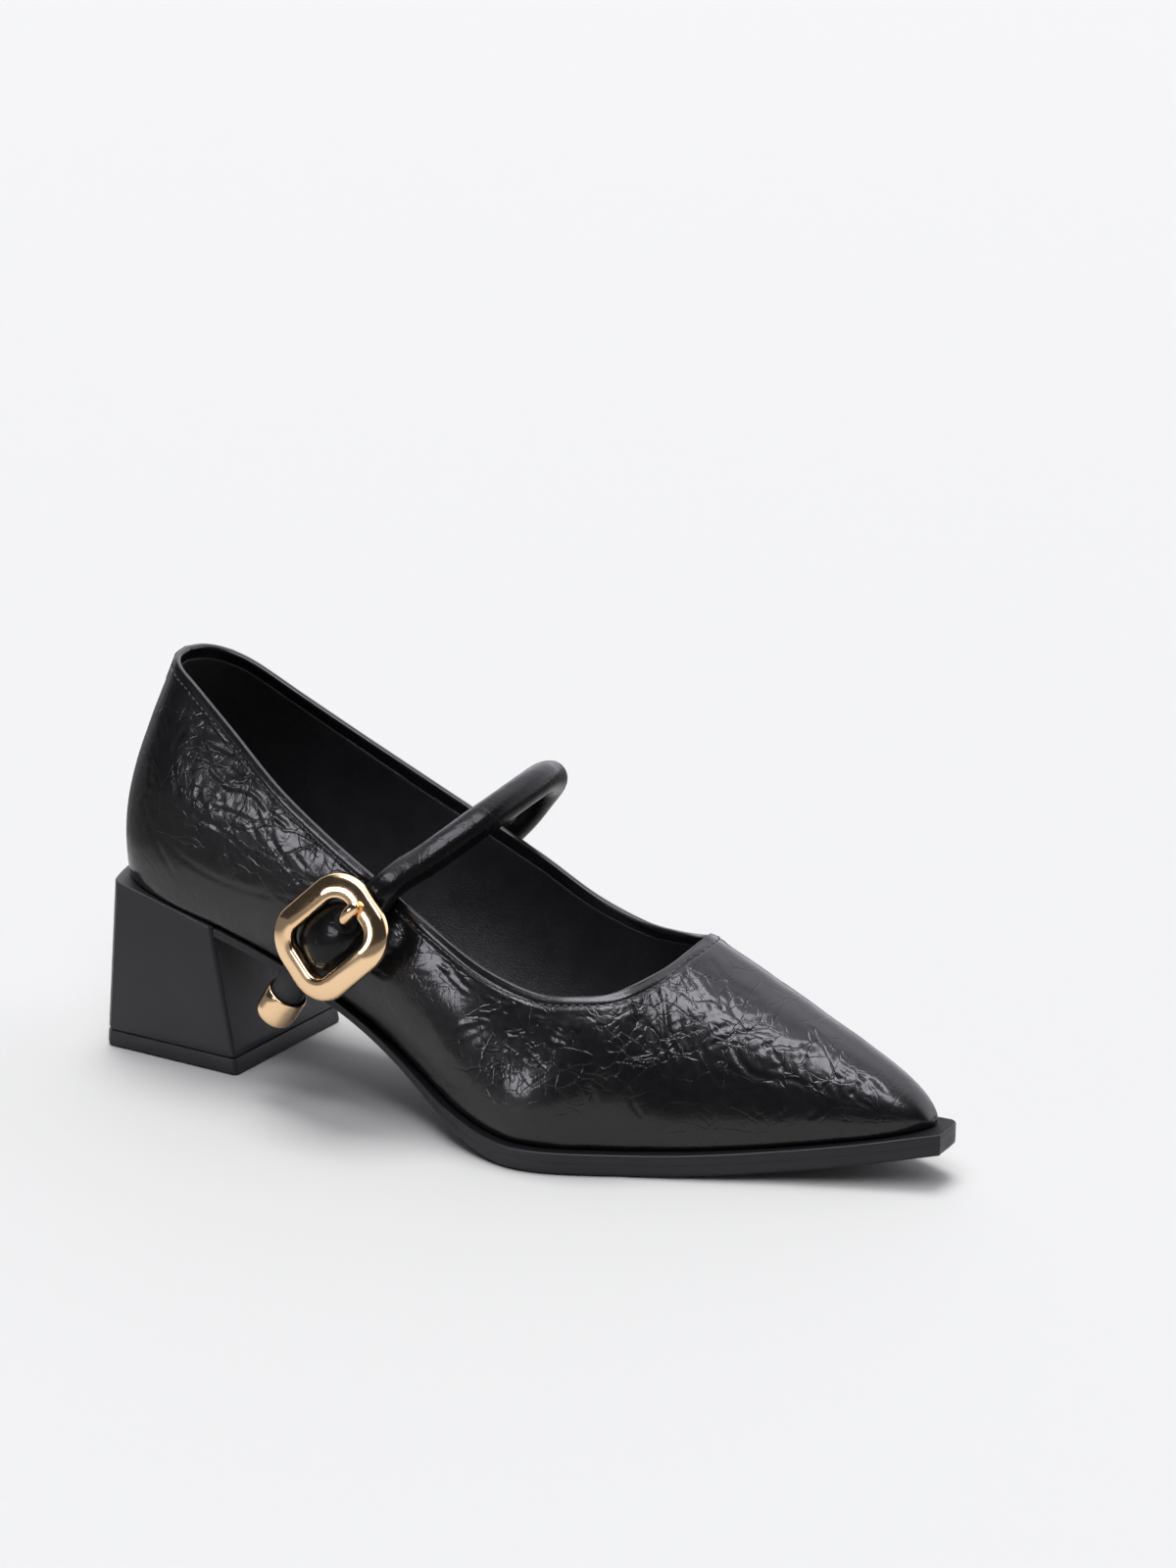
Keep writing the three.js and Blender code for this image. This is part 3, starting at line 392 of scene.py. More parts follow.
def patent(name, strength=1.0, use_attr=True, coat=0.50, spec=0.24):
    """Glossy black leather with broken, wandering creases of three sizes."""
    k = Nodes(name, (0.0035, 0.0035, 0.0040), 0.30, coat=coat, coat_rough=0.09, spec=spec)
    dens = k.attr("crinkle") if use_attr else None
    w1 = k.warp(k.co, 48, 0.011)
    w1 = k.warp(w1, 260, 0.0018)
    # long thin folds: the edges of stretched cells, shown only in patches
    total = None
    for sc, stretch, width, amp, seed, lo, hi in (
            (92, (1.0, 0.66, 0.24), 0.028, 1.0, (0.3, 0.5, 0.5), 0.43, 0.56),
            (128, (0.24, 1.0, 0.85), 0.034, 0.9, (0.9, 0.7, 0.2), 0.44, 0.57),
            (210, (0.9, 0.32, 1.0), 0.045, 0.7, (2.1, 1.3, 0.9), 0.43, 0.57),
            (340, (1.0, 1.0, 0.4), 0.07, 0.40, (0.7, 2.3, 1.9), 0.45, 0.59)):
        c = k.scaled(*stretch, rot=seed, co=w1)
        line = k.map(k.cells(sc, c), 0.0, width, 1.0, 0.0)
        patch = k.map(k.noise(34 + sc * 0.25, 2, 0.6, co=k.scaled(1, 1, 1, rot=(seed[2], seed[0], 0), co=k.co)), lo, hi)
        h = k.math("MULTIPLY", k.math("MULTIPLY", line, patch), amp)
        total = h if total is None else k.math("ADD", total, h)
    if dens is not None:
        total = k.math("MULTIPLY", total, dens)
    undul = k.noise(120, 3, 0.5, co=k.warp(k.co, 40, 0.012))
    k.bump(undul, 0.0006 * strength, 0.20)
    soft = k.math("MULTIPLY", k.noise(420, 3, 0.55, co=k.warp(k.co, 160, 0.004)), dens) if dens is not None else k.noise(420, 3, 0.55)
    k.bump(soft, 0.00015 * strength, 0.26)
    if dens is not None:
        k.bump(k.math("MULTIPLY", k.noise(165, 2, 0.5, co=k.warp(k.co, 90, 0.008)), dens), 0.00045 * strength, 0.30)
    k.bump(total, -0.00013 * strength, 1.0)
    k.bump(k.noise(1500, 2, 0.5), 0.00005, 0.35)
    # painted highlight: the crease lines are painted a little lighter, standing in for glints along their edges
    k.tint(k.map(total, 0.1, 1.2), (0.0034, 0.0034, 0.0038), (0.0075, 0.0075, 0.008))
    k.rough(k.map(k.noise(300, 3, 0.6), 0.3, 0.7, 0.27, 0.37))
    return k.done()


def satin(name, color, rough, grain, grain_h, spec=0.45):
    """Moulded or painted parts: an even satin with very fine tooth and soft wear."""
    k = Nodes(name, color, rough, spec=spec)
    k.bump(k.noise(grain, 3, 0.6), grain_h, 0.5)
    k.bump(k.noise(60, 2, 0.5), 0.0004, 0.15)
    k.rough(k.map(k.noise(140, 4, 0.6), 0.3, 0.7, rough - 0.05, rough + 0.06))
    w = k.map(k.noise(35, 4, 0.65), 0.45, 0.75)
    k.tint(w, color, tuple(c * 1.35 for c in color))
    return k.done(coat=False)


M_UPPER = patent("patent_leather")
M_STRAP = patent("patent_strap", 0.8, coat=0.27, spec=0.08)


def make_tail():
    k = Nodes("strap_tail_leather", (0.014, 0.014, 0.016), 0.48, spec=0.4)
    k.bump(k.noise(900, 2, 0.5), 0.00006, 0.5)
    k.rough(k.map(k.noise(200, 3, 0.6), 0.3, 0.7, 0.42, 0.55))
    return k.done(coat=False)


def make_lining():
    k = Nodes("lining_leather", (0.0130, 0.0130, 0.0142), 0.46, spec=0.46)
    k.bump(k.map(k.cells(1100, k.warp(k.co, 300, 0.001)), 0.0, 0.12, 0.0, 1.0), 0.00006, 0.6)
    k.bump(k.noise(90, 3, 0.5), 0.0010, 0.10)
    k.rough(k.map(k.noise(160, 4, 0.6), 0.3, 0.7, 0.40, 0.54))
    k.tint(k.map(k.noise(28, 3, 0.5), 0.4, 0.7), (0.0115, 0.0115, 0.0125), (0.0160, 0.0160, 0.0174))
    return k.done(coat=False)


def make_gold():
    k = Nodes("rose_gold", (0.97, 0.675, 0.395), 0.13, metal=1.0)
    k.bump(k.noise(70, 2, 0.5), 0.0003, 0.10)
    k.bump(k.noise(2600, 2, 0.5), 0.000012, 0.4)
    k.rough(k.map(k.noise(180, 4, 0.6), 0.3, 0.7, 0.10, 0.17))
    k.tint(k.map(k.noise(90, 3, 0.6), 0.3, 0.7), (0.96, 0.66, 0.385), (0.98, 0.695, 0.42))
    return k.done(coat=False)


def make_thread():
    k = Nodes("black_thread", (0.030, 0.030, 0.032), 0.5, spec=0.5)
    k.bump(k.noise(4000, 2, 0.5), 0.00004, 0.8)
    k.rough(k.map(k.noise(900, 2, 0.5), 0.3, 0.7, 0.42, 0.6))
    return k.done(coat=False)


M_TAIL, M_LINING, M_GOLD, M_THREAD = make_tail(), make_lining(), make_gold(), make_thread()
M_SOLE = satin("sole_edge", (0.0115, 0.0115, 0.0130), 0.44, 900, 0.00010, 0.34)
# painted shade: the sole's upward faces get this darker, duller copy of the edge finish, standing in for the shade
# under the upper
M_LEDGE_SHADE = satin("sole_ledge_shade", (0.0035, 0.0035, 0.0040), 0.62, 900, 0.00012, 0.12)
M_HEEL = satin("heel_cover", (0.0125, 0.0125, 0.0140), 0.42, 1400, 0.00006, 0.38)
M_TREAD = satin("heel_rubber", (0.0110, 0.0110, 0.0122), 0.50, 700, 0.00014, 0.34)

# ---------------------------------------------------------------- upper
CREASES = [  # depth, width, then points on the skin
    (0.22, 0.7, [(26.5, -14.5, 107.5), (30, -16, 103.5), (34.5, -16.5, 101), (41, -17, 98.5)]),
    (0.18, 0.6, [(26, -23, 82.5), (28, -24, 79.5), (29.5, -24.5, 77), (32.5, -25, 75)]),
    (0.28, 0.8, [(30, -18.5, 97.5), (35.5, -20, 93), (39, -21.5, 88), (45, -22, 85)]),
    (0.30, 0.8, [(44, -22.5, 84.5), (49.5, -22, 85), (55, -22.5, 83.5), (59.5, -23.5, 79)]),
    (0.30, 0.8, [(40.5, -24, 78.5), (48, -24, 78), (55, -24.5, 76.5), (60.5, -23.5, 78.5), (65.5, -22, 82)]),
    (0.22, 0.7, [(34.5, -25, 75.5), (40.5, -25, 74), (49, -25.5, 70.5), (54, -26, 66.5)]),
    (0.26, 0.7, [(53.5, -24.5, 76), (56.5, -25.5, 72), (55.5, -26, 66), (52.5, -26.5, 60.5)]),
    (0.28, 0.8, [(59, -23.5, 79), (62, -25, 72.5), (66, -25.5, 67.5), (70.5, -26, 63.5)]),
    (0.26, 0.7, [(65.5, -22, 82), (69, -23, 77), (68.5, -24.5, 71), (72.5, -25, 67)]),
    (0.28, 0.8, [(69, -23, 77), (77, -23, 74), (83, -23, 72.5)]),
    (0.20, 0.7, [(37.5, -19, 95), (45, -19, 93.5)]),
    (0.16, 1.0, [(14.5, -22.5, 75), (20.5, -25, 65.5), (27, -25.5, 57)]),
    (0.18, 0.9, [(17.5, -17.5, 95.5), (24.5, -21.5, 87.5), (28, -23.5, 81)]),
    (0.20, 0.8, [(59.5, -26.5, 63), (67.5, -26, 63), (76.5, -25.5, 64)]),
    (0.16, 1.0, [(18.5, -24, 70), (31, -26, 62.5), (46, -26.5, 58), (61, -26.5, 57)]),
    (0.22, 0.7, [(45, -20, 90.5), (49.5, -20.5, 89), (55.5, -20.5, 89), (60.5, -21, 86.5)]),
    (0.22, 0.7, [(64.5, -26.5, 57.5), (70.5, -26.5, 57.5), (79, -26, 60)]),
    (0.20, 0.7, [(36, -22, 86), (35, -23.5, 81), (38, -24, 78)]),
    (0.22, 0.6, [(107.5, -27.5, 46.5), (112.5, -27, 49), (118.5, -25.5, 52.5)]),
    (0.24, 0.6, [(107, -28, 44), (114.5, -28.5, 44.5), (121, -27, 47.5), (124, -25.5, 49.5)]),
    (0.22, 0.6, [(113.5, -29, 41.5), (120, -28, 44.5), (126, -26.5, 47.5)]),
    (0.20, 0.6, [(109.5, -26.5, 52.5), (114, -25.5, 54.5), (118, -25, 54)]),
    (0.24, 0.6, [(124.5, -32, 32), (129.5, -31, 35), (135, -30.5, 36.5)]),
    (0.22, 0.6, [(128, -32.5, 30), (133, -32, 33.5), (138, -30, 37.5)]),
    (0.28, 0.7, [(143, -32.5, 32), (145.5, -29.5, 37.5), (146.5, -26.5, 42)]),
    (0.24, 0.6, [(149, -34, 29), (149.5, -35, 26), (151.5, -35.5, 24)]),
    (0.26, 0.6, [(156, -28.5, 37.5), (159.5, -29, 36), (163, -29, 34)]),
    (0.26, 0.6, [(165.5, -28.5, 34), (166, -26.5, 37), (166, -25, 39.5)]),
    (0.24, 0.6, [(171.5, -26, 31.5), (172.5, -24, 33.5), (173.5, -22.5, 35.5)]),
    (0.20, 0.7, [(133.5, -28, 42), (140, -28, 41), (146.5, -26, 43)]),
    (0.18, 0.7, [(99, -28, 39), (102, -28, 32.5), (108.5, -29.5, 28)]),
    (0.16, 0.9, [(86.5, -22, 27.5), (95.5, -22.5, 22.5), (109, -26, 16), (121.5, -31.5, 13)]),
    (0.18, 0.8, [(117, -30.5, 16.5), (128, -34.5, 16.5), (139, -36.5, 17)]),
    (0.20, 0.7, [(152.5, -35.5, 23.5), (156.5, -34, 26.5), (161.5, -31.5, 30)]),
    (0.18, 0.7, [(165.5, -31, 26), (168, -30.5, 22.5), (169.5, -30.5, 19.5)]),
    (0.16, 0.7, [(176, -25, 23.5), (177, -25, 20.5), (179.5, -24.5, 16.5)]),
    (0.34, 0.8, [(175.5, -8.5, 49.5), (178.5, -11, 45), (180.5, -13, 41), (182.5, -15, 36), (186, -15.5, 31.5)]),
    (0.30, 0.8, [(171, -15, 47.5), (173.5, -17, 43.5), (177, -17, 39), (179.5, -17, 36), (184, -17, 30.5)]),
    (0.24, 0.7, [(175, -12.5, 46), (178, -13, 43)]),
    (0.26, 0.8, [(179, -3, 52), (183, -3.5, 49), (187, -4.5, 46), (192, -5.5, 41)]),
    (0.22, 0.7, [(182.5, -13, 39), (187, -9.5, 40.5), (191.5, -6, 41)]),
    (0.28, 0.7, [(184.5, -12.5, 38), (187.5, -13, 34.5), (190, -13.5, 31), (192, -14, 28.5)]),
    (0.34, 0.8, [(190.5, -12, 33), (191, -10.5, 36), (193, -7.5, 38), (194.5, -6, 39)]),
    (0.30, 0.7, [(192.5, -10, 34.5), (196, -7, 36.5), (199, -4, 37.5), (201.5, -2, 38)]),
    (0.36, 0.9, [(198, -7.5, 33.5), (200.5, -8, 30.5), (204, -8, 28), (207.5, -6.5, 27), (211, -5, 26)]),
    (0.24, 0.6, [(202.5, -5.5, 33), (204.5, -3, 34.5), (207, -1, 35.5)]),
    (0.24, 0.6, [(192.5, -13, 29.5), (195, -12.5, 27.5), (198, -12.5, 25)]),
    (0.22, 0.6, [(181, -22, 24), (182, -20.5, 25.5), (183, -19, 27.5)]),
    (0.26, 0.7, [(211, -4.5, 27), (215, -3, 26.5), (217.5, -2.5, 24.5)]),
    (0.22, 0.7, [(215, -1, 29.5), (215, 0.5, 31.5), (216.5, 2.5, 32.5)]),
    (0.22, 0.7, [(219.5, -0.5, 27), (221.5, -0.5, 25), (223, -0.5, 23.5)]),
    (0.20, 0.7, [(228, 2.5, 24), (229, 4.5, 26)]),
    (0.22, 0.8, [(183.5, -17.5, 31), (185, -17, 29), (187, -17, 27)]),
    (0.26, 0.7, [(195, -11, 31), (197, -10.5, 30), (200.5, -9.5, 28)]),
    (0.20, 0.7, [(208, -5, 29.5), (210.5, -3, 30), (212, -0.5, 32)]),
    (0.16, 0.9, [(192, -2.5, 44), (197.5, -2, 40.5), (201.5, 1, 41)]),
    (0.14, 1.0, [(185, 3.5, 52.5), (190.5, 2, 48.5), (197.5, 4, 45)]),
    (0.16, 0.9, [(209, 0, 35), (214, 3, 34.5), (217.5, 3.5, 33)]),
    (0.16, 0.8, [(205.5, -10.5, 19), (207, -10, 17.5)]),
    (0.16, 0.8, [(212, -7.5, 17.5), (214, -6, 19.5)]),
    (0.16, 0.8, [(219.5, -4, 18), (221, -3, 19.5)]),
    (0.18, 0.7, [(229, 6.5, 28), (232, 7.5, 27), (235, 7.5, 24.5)]),
]


def stations():
    out = []
    for i in range(LAST):
        k = 17 if i < THROAT - 1 else 26 if i <= THROAT else 15 if i < 19 else 8
        out += [i + j / k for j in range(k)]
    return np.array(out + [float(LAST)])


S_ST = stations()
V_ST = np.concatenate([np.linspace(0, 0.915, 72)[:-1], np.linspace(0.915, 1, 14)])


# the topline as one run: up the outer side from the back, round the throat, back along the inner side
_sl = np.linspace(0, THROAT, 900)
TOP = np.concatenate([upper_pt(-1, _sl, np.ones(900)), upper_pt(1, _sl[::-1][1:], np.ones(899))])


def dist_to(P, line, reach, closed=False):
    """Distance of points P to a poly-line (mm), only where under reach."""
    out = np.full(len(P), 1e9)
    L = np.asarray(line, float)
    for a, b in zip(L[:-1], L[1:]):
        lo, hi = np.minimum(a, b) - reach, np.maximum(a, b) + reach
        k = np.where(((P > lo) & (P < hi)).all(1))[0]
        if not len(k):
            continue
        d = b - a
        t = np.clip(((P[k] - a) @ d) / max(d @ d, 1e-9), 0, 1)
        r = np.linalg.norm(P[k] - (a + t[:, None] * d), axis=1)
        out[k] = np.minimum(out[k], r)
    return out


def smooth_line(pts, n=6):
    pts = np.asarray(pts, float)
    if len(pts) < 3:
        return pts
    out = []
    for i in range(len(pts) - 1):
        a, b, c, d = pts[max(0, i - 1)], pts[i], pts[i + 1], pts[min(len(pts) - 1, i + 2)]
        for t in np.linspace(0, 1, n, endpoint=False):
            out.append(0.5 * (2 * b + (c - a) * t + (2 * a - 5 * b + 4 * c - d) * t * t + (3 * b - a - 3 * c + d) * t ** 3))
    return np.array(out + [pts[-1]])


def fold(r, w, dep):
    """A soft trough with a low ridge on both sides."""
    return -dep * np.exp(-(r / w) ** 2) + 0.42 * dep * np.exp(-((r - 2.0 * w) / (1.1 * w)) ** 2)


# zones of lively leather: centre (mm), radius, strength
ZONES = [((52, -22, 90), 26, 1.0), ((80, -24, 70), 20, 0.95), ((150, -34, 34), 20, 0.75), ((172, -22, 40), 16, 1.0),
         ((192, -8, 42), 17, 1.0), ((214, 2, 34), 13, 0.9), ((20, -14, 92), 16, 0.5), ((50, 22, 92), 26, 0.9),
         ((80, 27, 70), 20, 0.8), ((168, 30, 38), 18, 0.8), ((196, 22, 38), 16, 0.9), ((218, 20, 30), 12, 0.7), ((2, 0, 90), 18, 0.45)]


def liveliness(P):
    d = np.full(len(P), 0.22)
    for c, r, k in ZONES:
        d = np.maximum(d, k * np.exp(-(np.linalg.norm(P - np.array(c), axis=1) / r) ** 2 * 0.8))
    return d


def small_folds():
    """Short seeded creases that fan out around centres in the lively zones."""
    r = np.random.default_rng(21)
    out = []
    hubs = [(-1, s, v) for s, v in ((3.3, .78), (4.1, .62), (4.9, .8), (5.6, .6), (6.5, .72), (7.4, .66), (8.3, .8), (9.4, .75), (10.6, .7),
                                    (11.7, .72), (12.6, .6), (13.6, .62), (14.6, .55), (15.5, .62), (16.4, .5), (17.2, .62), (18.2, .5), (2.2, .5))]
    hubs += [(1, s, v) for s, v in ((2.6, .7), (3.6, .8), (4.5, .66), (5.4, .8), (6.4, .7), (7.6, .75), (9.0, .7), (10.6, .7), (11.8, .6),
                                    (12.8, .55), (13.8, .6), (14.8, .5), (15.8, .6), (16.8, .5), (1.2, .6))]
    for side, s0, v0 in hubs:
        for _ in range(6):
            s, v = s0 + r.normal() * 0.45, v0 + r.normal() * 0.09
            ang, bend = r.uniform(0, 6.28), r.normal() * 0.5
            length, pts = r.uniform(3, 10), []
            for q in np.linspace(0, 1, 5):
                pts.append((s, v))
                s += math.cos(ang) * length / 4 / 13.0
                v += math.sin(ang) * length / 4 / 55.0
                ang += bend / 4 + r.normal() * 0.25
            p = np.clip(np.array(pts), (0.05, 0.12), (20.5, 0.955))
            out.append((r.uniform(0.04, 0.11), r.uniform(0.5, 0.75), upper_pt(side, p[:, 0], p[:, 1])))
    return out


def relief(P, calm):
    """How far the leather stands above its plain shape at points P (mm)."""
    h = 0.07 * waves(P, 3, 14, 34) * calm + 0.022 * waves(P, 5, 5, 11) * calm * (0.4 + liveliness(P))
    for dep, w, pts in CREASES:
        L = smooth_line(pts)
        r = dist_to(P, L, 4 * w)
        k = r < 4 * w
        h[k] += fold(r[k], w * 0.85, dep * 0.5)
    for dep, w, L in small_folds():
        r = dist_to(P, L, 4 * w)
        k = r < 4 * w
        h[k] += fold(r[k], w, dep)
    return h


# The skin is one sheet: both sides are joined at the back line and the ridge,
# then eased around the throat, where the sections fan out.
N, MV = len(S_ST), len(V_ST)
sg, vg = np.meshgrid(S_ST, V_ST, indexing="ij")
sg, vg = sg.ravel(), vg.ravel()
raw = np.concatenate([upper_pt(-1, sg, vg), upper_pt(1, sg, vg)])
raw_s, raw_v = np.tile(sg, 2), np.tile(vg, 2)
quads = grid_faces(N, MV, 0, False) + grid_faces(N, MV, N * MV, True)
U, UF, INV = weld(raw, quads, 0.004)
us, uv = np.zeros(len(U)), np.zeros(len(U))
us[INV], uv[INV] = raw_s, raw_v
tri = np.array([(f[0], f[i], f[i + 1]) for f in UF for i in range(1, len(f) - 1)])
ed_ = np.concatenate([np.array([(f[i], f[(i + 1) % len(f)]) for f in UF if len(f) == k for i in range(k)]).reshape(-1, 2) for k in (3, 4)])
ed_ = np.unique(np.sort(ed_, axis=1), axis=0)
deg = np.bincount(ed_.ravel(), minlength=len(U))[:, None]
fixed = (uv < 1e-9) | ((uv > 1 - 1e-9) & (us <= THROAT + 1e-9)) | (us > LAST - 2)
ease = np.where(fixed, 0, 0.9 * np.exp(-np.clip((np.abs(us - 14.2) - 0.6) / 1.3, 0, 9) ** 2))[:, None]
BASE = U.copy()


def spread(A):
    out = np.zeros_like(A)
    for c in range(A.shape[1]):
        out[:, c] = np.bincount(ed_[:, 0], A[ed_[:, 1], c], len(A)) + np.bincount(ed_[:, 1], A[ed_[:, 0], c], len(A))
    return out / deg


for _ in range(110):
    BASE += (spread(BASE) - BASE) * ease


def normals(Pv):
    fn = np.cross(Pv[tri[:, 1]] - Pv[tri[:, 0]], Pv[tri[:, 2]] - Pv[tri[:, 0]])
    out = np.zeros_like(Pv)
    for c in range(3):
        for k in range(3):
            out[:, c] += np.bincount(tri[:, k], fn[:, c], len(Pv))
    return unit(out)


NRM = normals(BASE)
for _ in range(4):
    NRM = unit(NRM + spread(NRM))
edge = dist_to(BASE, TOP, 8.0)
calm = np.clip((edge - 3.4) / 4.0, 0, 1) * np.clip(uv / 0.06, 0, 1)
h = relief(BASE, calm) * np.clip((edge - 3.0) / 1.5, 0, 1) * np.clip(uv / 0.05, 0, 1)
# the folded edge: a soft roll between the rim and the stitch groove, dying out at the apex
APEX = upper_pt(-1, np.array([float(THROAT)]), np.ones(1))[0]
QUIET = np.clip((np.linalg.norm(BASE - APEX, axis=1) - 1.5) / 7.0, 0.1, 1)
h += np.where(edge < 8, QUIET * (0.07 * np.exp(-((edge - 1.3) / 0.8) ** 2) - 0.17 * np.exp(-((edge - 2.6) / 0.42) ** 2) + 0.06 * np.exp(-((edge - 3.8) / 0.8) ** 2)), 0)
# lasted over the sole's edge: the skin turns in at the very foot
h -= 0.35 * np.exp(-(uv / 0.012))
SKIN_P = BASE + NRM * h[:, None]

# inside wall, on a coarser choice of the same levels
J_IN = np.array([0, 8, 16, 24, 32, 40, 48, 56, 62, 67, 71, 74, 77, 79, 81, 83])
J_IN = np.unique(np.minimum(J_IN, MV - 1))
MI = len(J_IN)
cell = np.arange(2 * N * MV).reshape(2, N, MV)
in_idx = INV[cell[:, :, J_IN]]
nin = NRM[in_idx].copy()
nin[:, :, 0, 2] = 0
INN = BASE[in_idx] - unit(nin) * WALL
INN[:, :, 0, 2] = support(INN[:, :, 0, 0]) + GAP
INN[:, -1] = np.array([246.5 - WALL * 1.25, 15.0, float(support(246.5 - WALL * 1.25)) + GAP])
n_out = len(SKIN_P)
nt = int((S_ST <= THROAT + 1e-9).sum())
verts = [SKIN_P, INN.reshape(-1, 3)]
faces = [tuple(f) for f in UF]
ii = n_out + np.arange(2 * N * MI).reshape(2, N, MI)
for sd in (0, 1):
    for i in range(N - 1):
        for j in range(MI - 1):
            f = (ii[sd, i, j], ii[sd, i, j + 1], ii[sd, i + 1, j + 1], ii[sd, i + 1, j])
            faces.append(f[::-1] if sd else f)
        f = (INV[cell[sd, i, 0]], ii[sd, i, 0], ii[sd, i + 1, 0], INV[cell[sd, i + 1, 0]])
        faces.append(f[::-1] if sd else f)
# rim: one closed run round the topline
lo_ = [(0, i) for i in range(nt)] + [(1, i) for i in range(nt - 2, 0, -1)]
o_i = [int(INV[cell[sd, i, MV - 1]]) for sd, i in lo_]
q_i = [int(ii[sd, i, MI - 1]) for sd, i in lo_]
allv = np.concatenate(verts)
o, q = allv[o_i], allv[q_i]
c, a = (o + q) / 2, (o - q) / 2
tan = unit(np.roll(o, -2, axis=0) - np.roll(o, 2, axis=0))
up = np.cross(tan, a)
up = unit(up * np.sign(up[:, 2:3] + 1e-9))
for _ in range(10):
    up = unit(up + 0.5 * (np.roll(up, 1, axis=0) + np.roll(up, -1, axis=0)))
RIM_K = 5
bulge = 0.62 * np.clip(np.linalg.norm(o - APEX, axis=1) / 9.0, 0.22, 1)[:, None]
rim = np.stack([c + a * math.cos(t_) + up * np.linalg.norm(a, axis=1, keepdims=True) * bulge * math.sin(t_)
                for t_ in np.linspace(0, math.pi, RIM_K + 2)[1:-1]], 1)
rb, m_ = len(allv), len(o_i)
verts = np.concatenate([allv, rim.reshape(-1, 3)])
for i in range(m_):
    k2 = (i + 1) % m_
    A_ = [o_i[i]] + [rb + i * RIM_K + k for k in range(RIM_K)] + [q_i[i]]
    B_ = [o_i[k2]] + [rb + k2 * RIM_K + k for k in range(RIM_K)] + [q_i[k2]]
    for k in range(RIM_K + 1):
        faces.append((A_[k], B_[k], B_[k + 1], A_[k + 1]))
verts, faces, _ = weld(verts, faces, 0.02)
upper = make("upper_leather", at(verts), faces, M_UPPER, "upper_leather")
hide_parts("upper")
lv = liveliness(verts)
ed = dist_to(verts, TOP, 6.0)
lv = np.where(ed < 3.2, lv * 0.15, lv)
attr = upper.data.attributes.new("crinkle", "FLOAT", "POINT")
attr.data.foreach_set("value", lv.astype(np.float32))
SKIN = BVHTree.FromPolygons([tuple(v) for v in SKIN_P], [tuple(int(i) for i in f) for f in UF])

# ---------------------------------------------------------------- lining
# a thin sheet on the wall's inside; near the topline it dives under the folded edge
I_L = np.unique(np.concatenate([np.arange(0, N - 1, 2), [nt - 1]]))
I_L = I_L[S_ST[I_L] < LAST - 1.0]
J_L = np.unique(np.concatenate([np.arange(0, 66, 4), np.arange(66, MV, 1)]))
li = INV[cell[:, I_L][:, :, J_L]]
LB, LN, LE = BASE[li].reshape(-1, 3), NRM[li].reshape(-1, 3), edge[li].reshape(-1)
ridge = (np.tile(np.repeat(S_ST[I_L], len(J_L)), 2) > THROAT + 0.3)
sink = np.where(ridge & (LE > 7.9), 1.0, np.clip((LE - 3.1) / 0.5, 0, 1))
sink = sink * sink * (3 - 2 * sink)
Q = LB - LN * (WALL - 0.45 + 0.72 * sink)[:, None]
Q += LN * (0.04 * waves(Q, 11, 9, 26) * sink)[:, None]
nl, ml = len(I_L), len(J_L)
lf_ = grid_faces(nl, ml, 0, True) + grid_faces(nl, ml, nl * ml, False)
lv2, lf_, _ = weld(Q, lf_, 0.02)
lining = make("lining", at(lv2), lf_, M_LINING, "lining")

# ---------------------------------------------------------------- insole
S_I, K_I = np.concatenate([np.linspace(0, 2, 14), np.linspace(2, LAST - 1.7, 110)[1:]]), 22
rows_, vts, fcs = [], [], []
for s in S_I:
    e = {}
    for side in (-1, 1):
        P, n = upper_pt(side, s, 0)[0], upper_nm(side, min(s, LAST - 0.4), 0.015)[0]
        if s == 0:
            n[1] = 0
        n[2] = 0
        n = unit(n)
        k = WALL + 0.45 + 0.1 * min(max(s - LAST + 5, 0), 5)
        e[side] = P[:2] - k * n[:2]
    rows_.append(np.array([e[-1] + (e[1] - e[-1]) * (0.5 - 0.5 * math.cos(math.pi * j / K_I)) for j in range(K_I + 1)]))
R = np.array(rows_)
w = np.linalg.norm(R[:, -1] - R[:, 0], axis=1)
t = (0.5 - 0.5 * np.cos(np.pi * np.arange(K_I + 1) / K_I))
edge_d = np.minimum(t, 1 - t)[None, :] * w[:, None]
lowest = np.minimum(edge_d, 2.0) / 2.0
flatP = R.reshape(-1, 2)
ztop = (support(R[..., 0]) + GAP + INSOLE_T - 1.0 + 1.0 * np.sqrt(np.clip(1 - (1 - lowest) ** 2, 0, 1)) + 0.5 * (1 - np.exp(-edge_d / 9)))
ztop -= 0.35 * np.exp(-((edge_d - 3.4) / 0.5) ** 2)
zbot = support(R[..., 0]) + GAP
top3, bot3 = np.dstack([R, ztop]), np.dstack([R, zbot])
nn, mm_ = R.shape[:2]
vts = np.concatenate([top3.reshape(-1, 3), bot3.reshape(-1, 3)])
fcs = grid_faces(nn, mm_, 0, False) + grid_faces(nn, mm_, nn * mm_, True)
B0 = nn * mm_
for i in range(nn - 1):
    a, b_ = i * mm_, (i + 1) * mm_
    fcs.append((a, B0 + a, B0 + b_, b_))
    a, b_ = i * mm_ + mm_ - 1, (i + 1) * mm_ + mm_ - 1
    fcs.append((a, b_, B0 + b_, B0 + a))
for i, fl in ((0, True), (nn - 1, False)):
    for j in range(mm_ - 1):
        a = i * mm_ + j
        f = (a, a + 1, B0 + a + 1, B0 + a)
        fcs.append(f[::-1] if fl else f)
vts, fcs, _ = weld(vts, fcs, 0.01)
insole = make("insole_sock", at(vts), fcs, M_LINING, "lining")
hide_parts("insole")

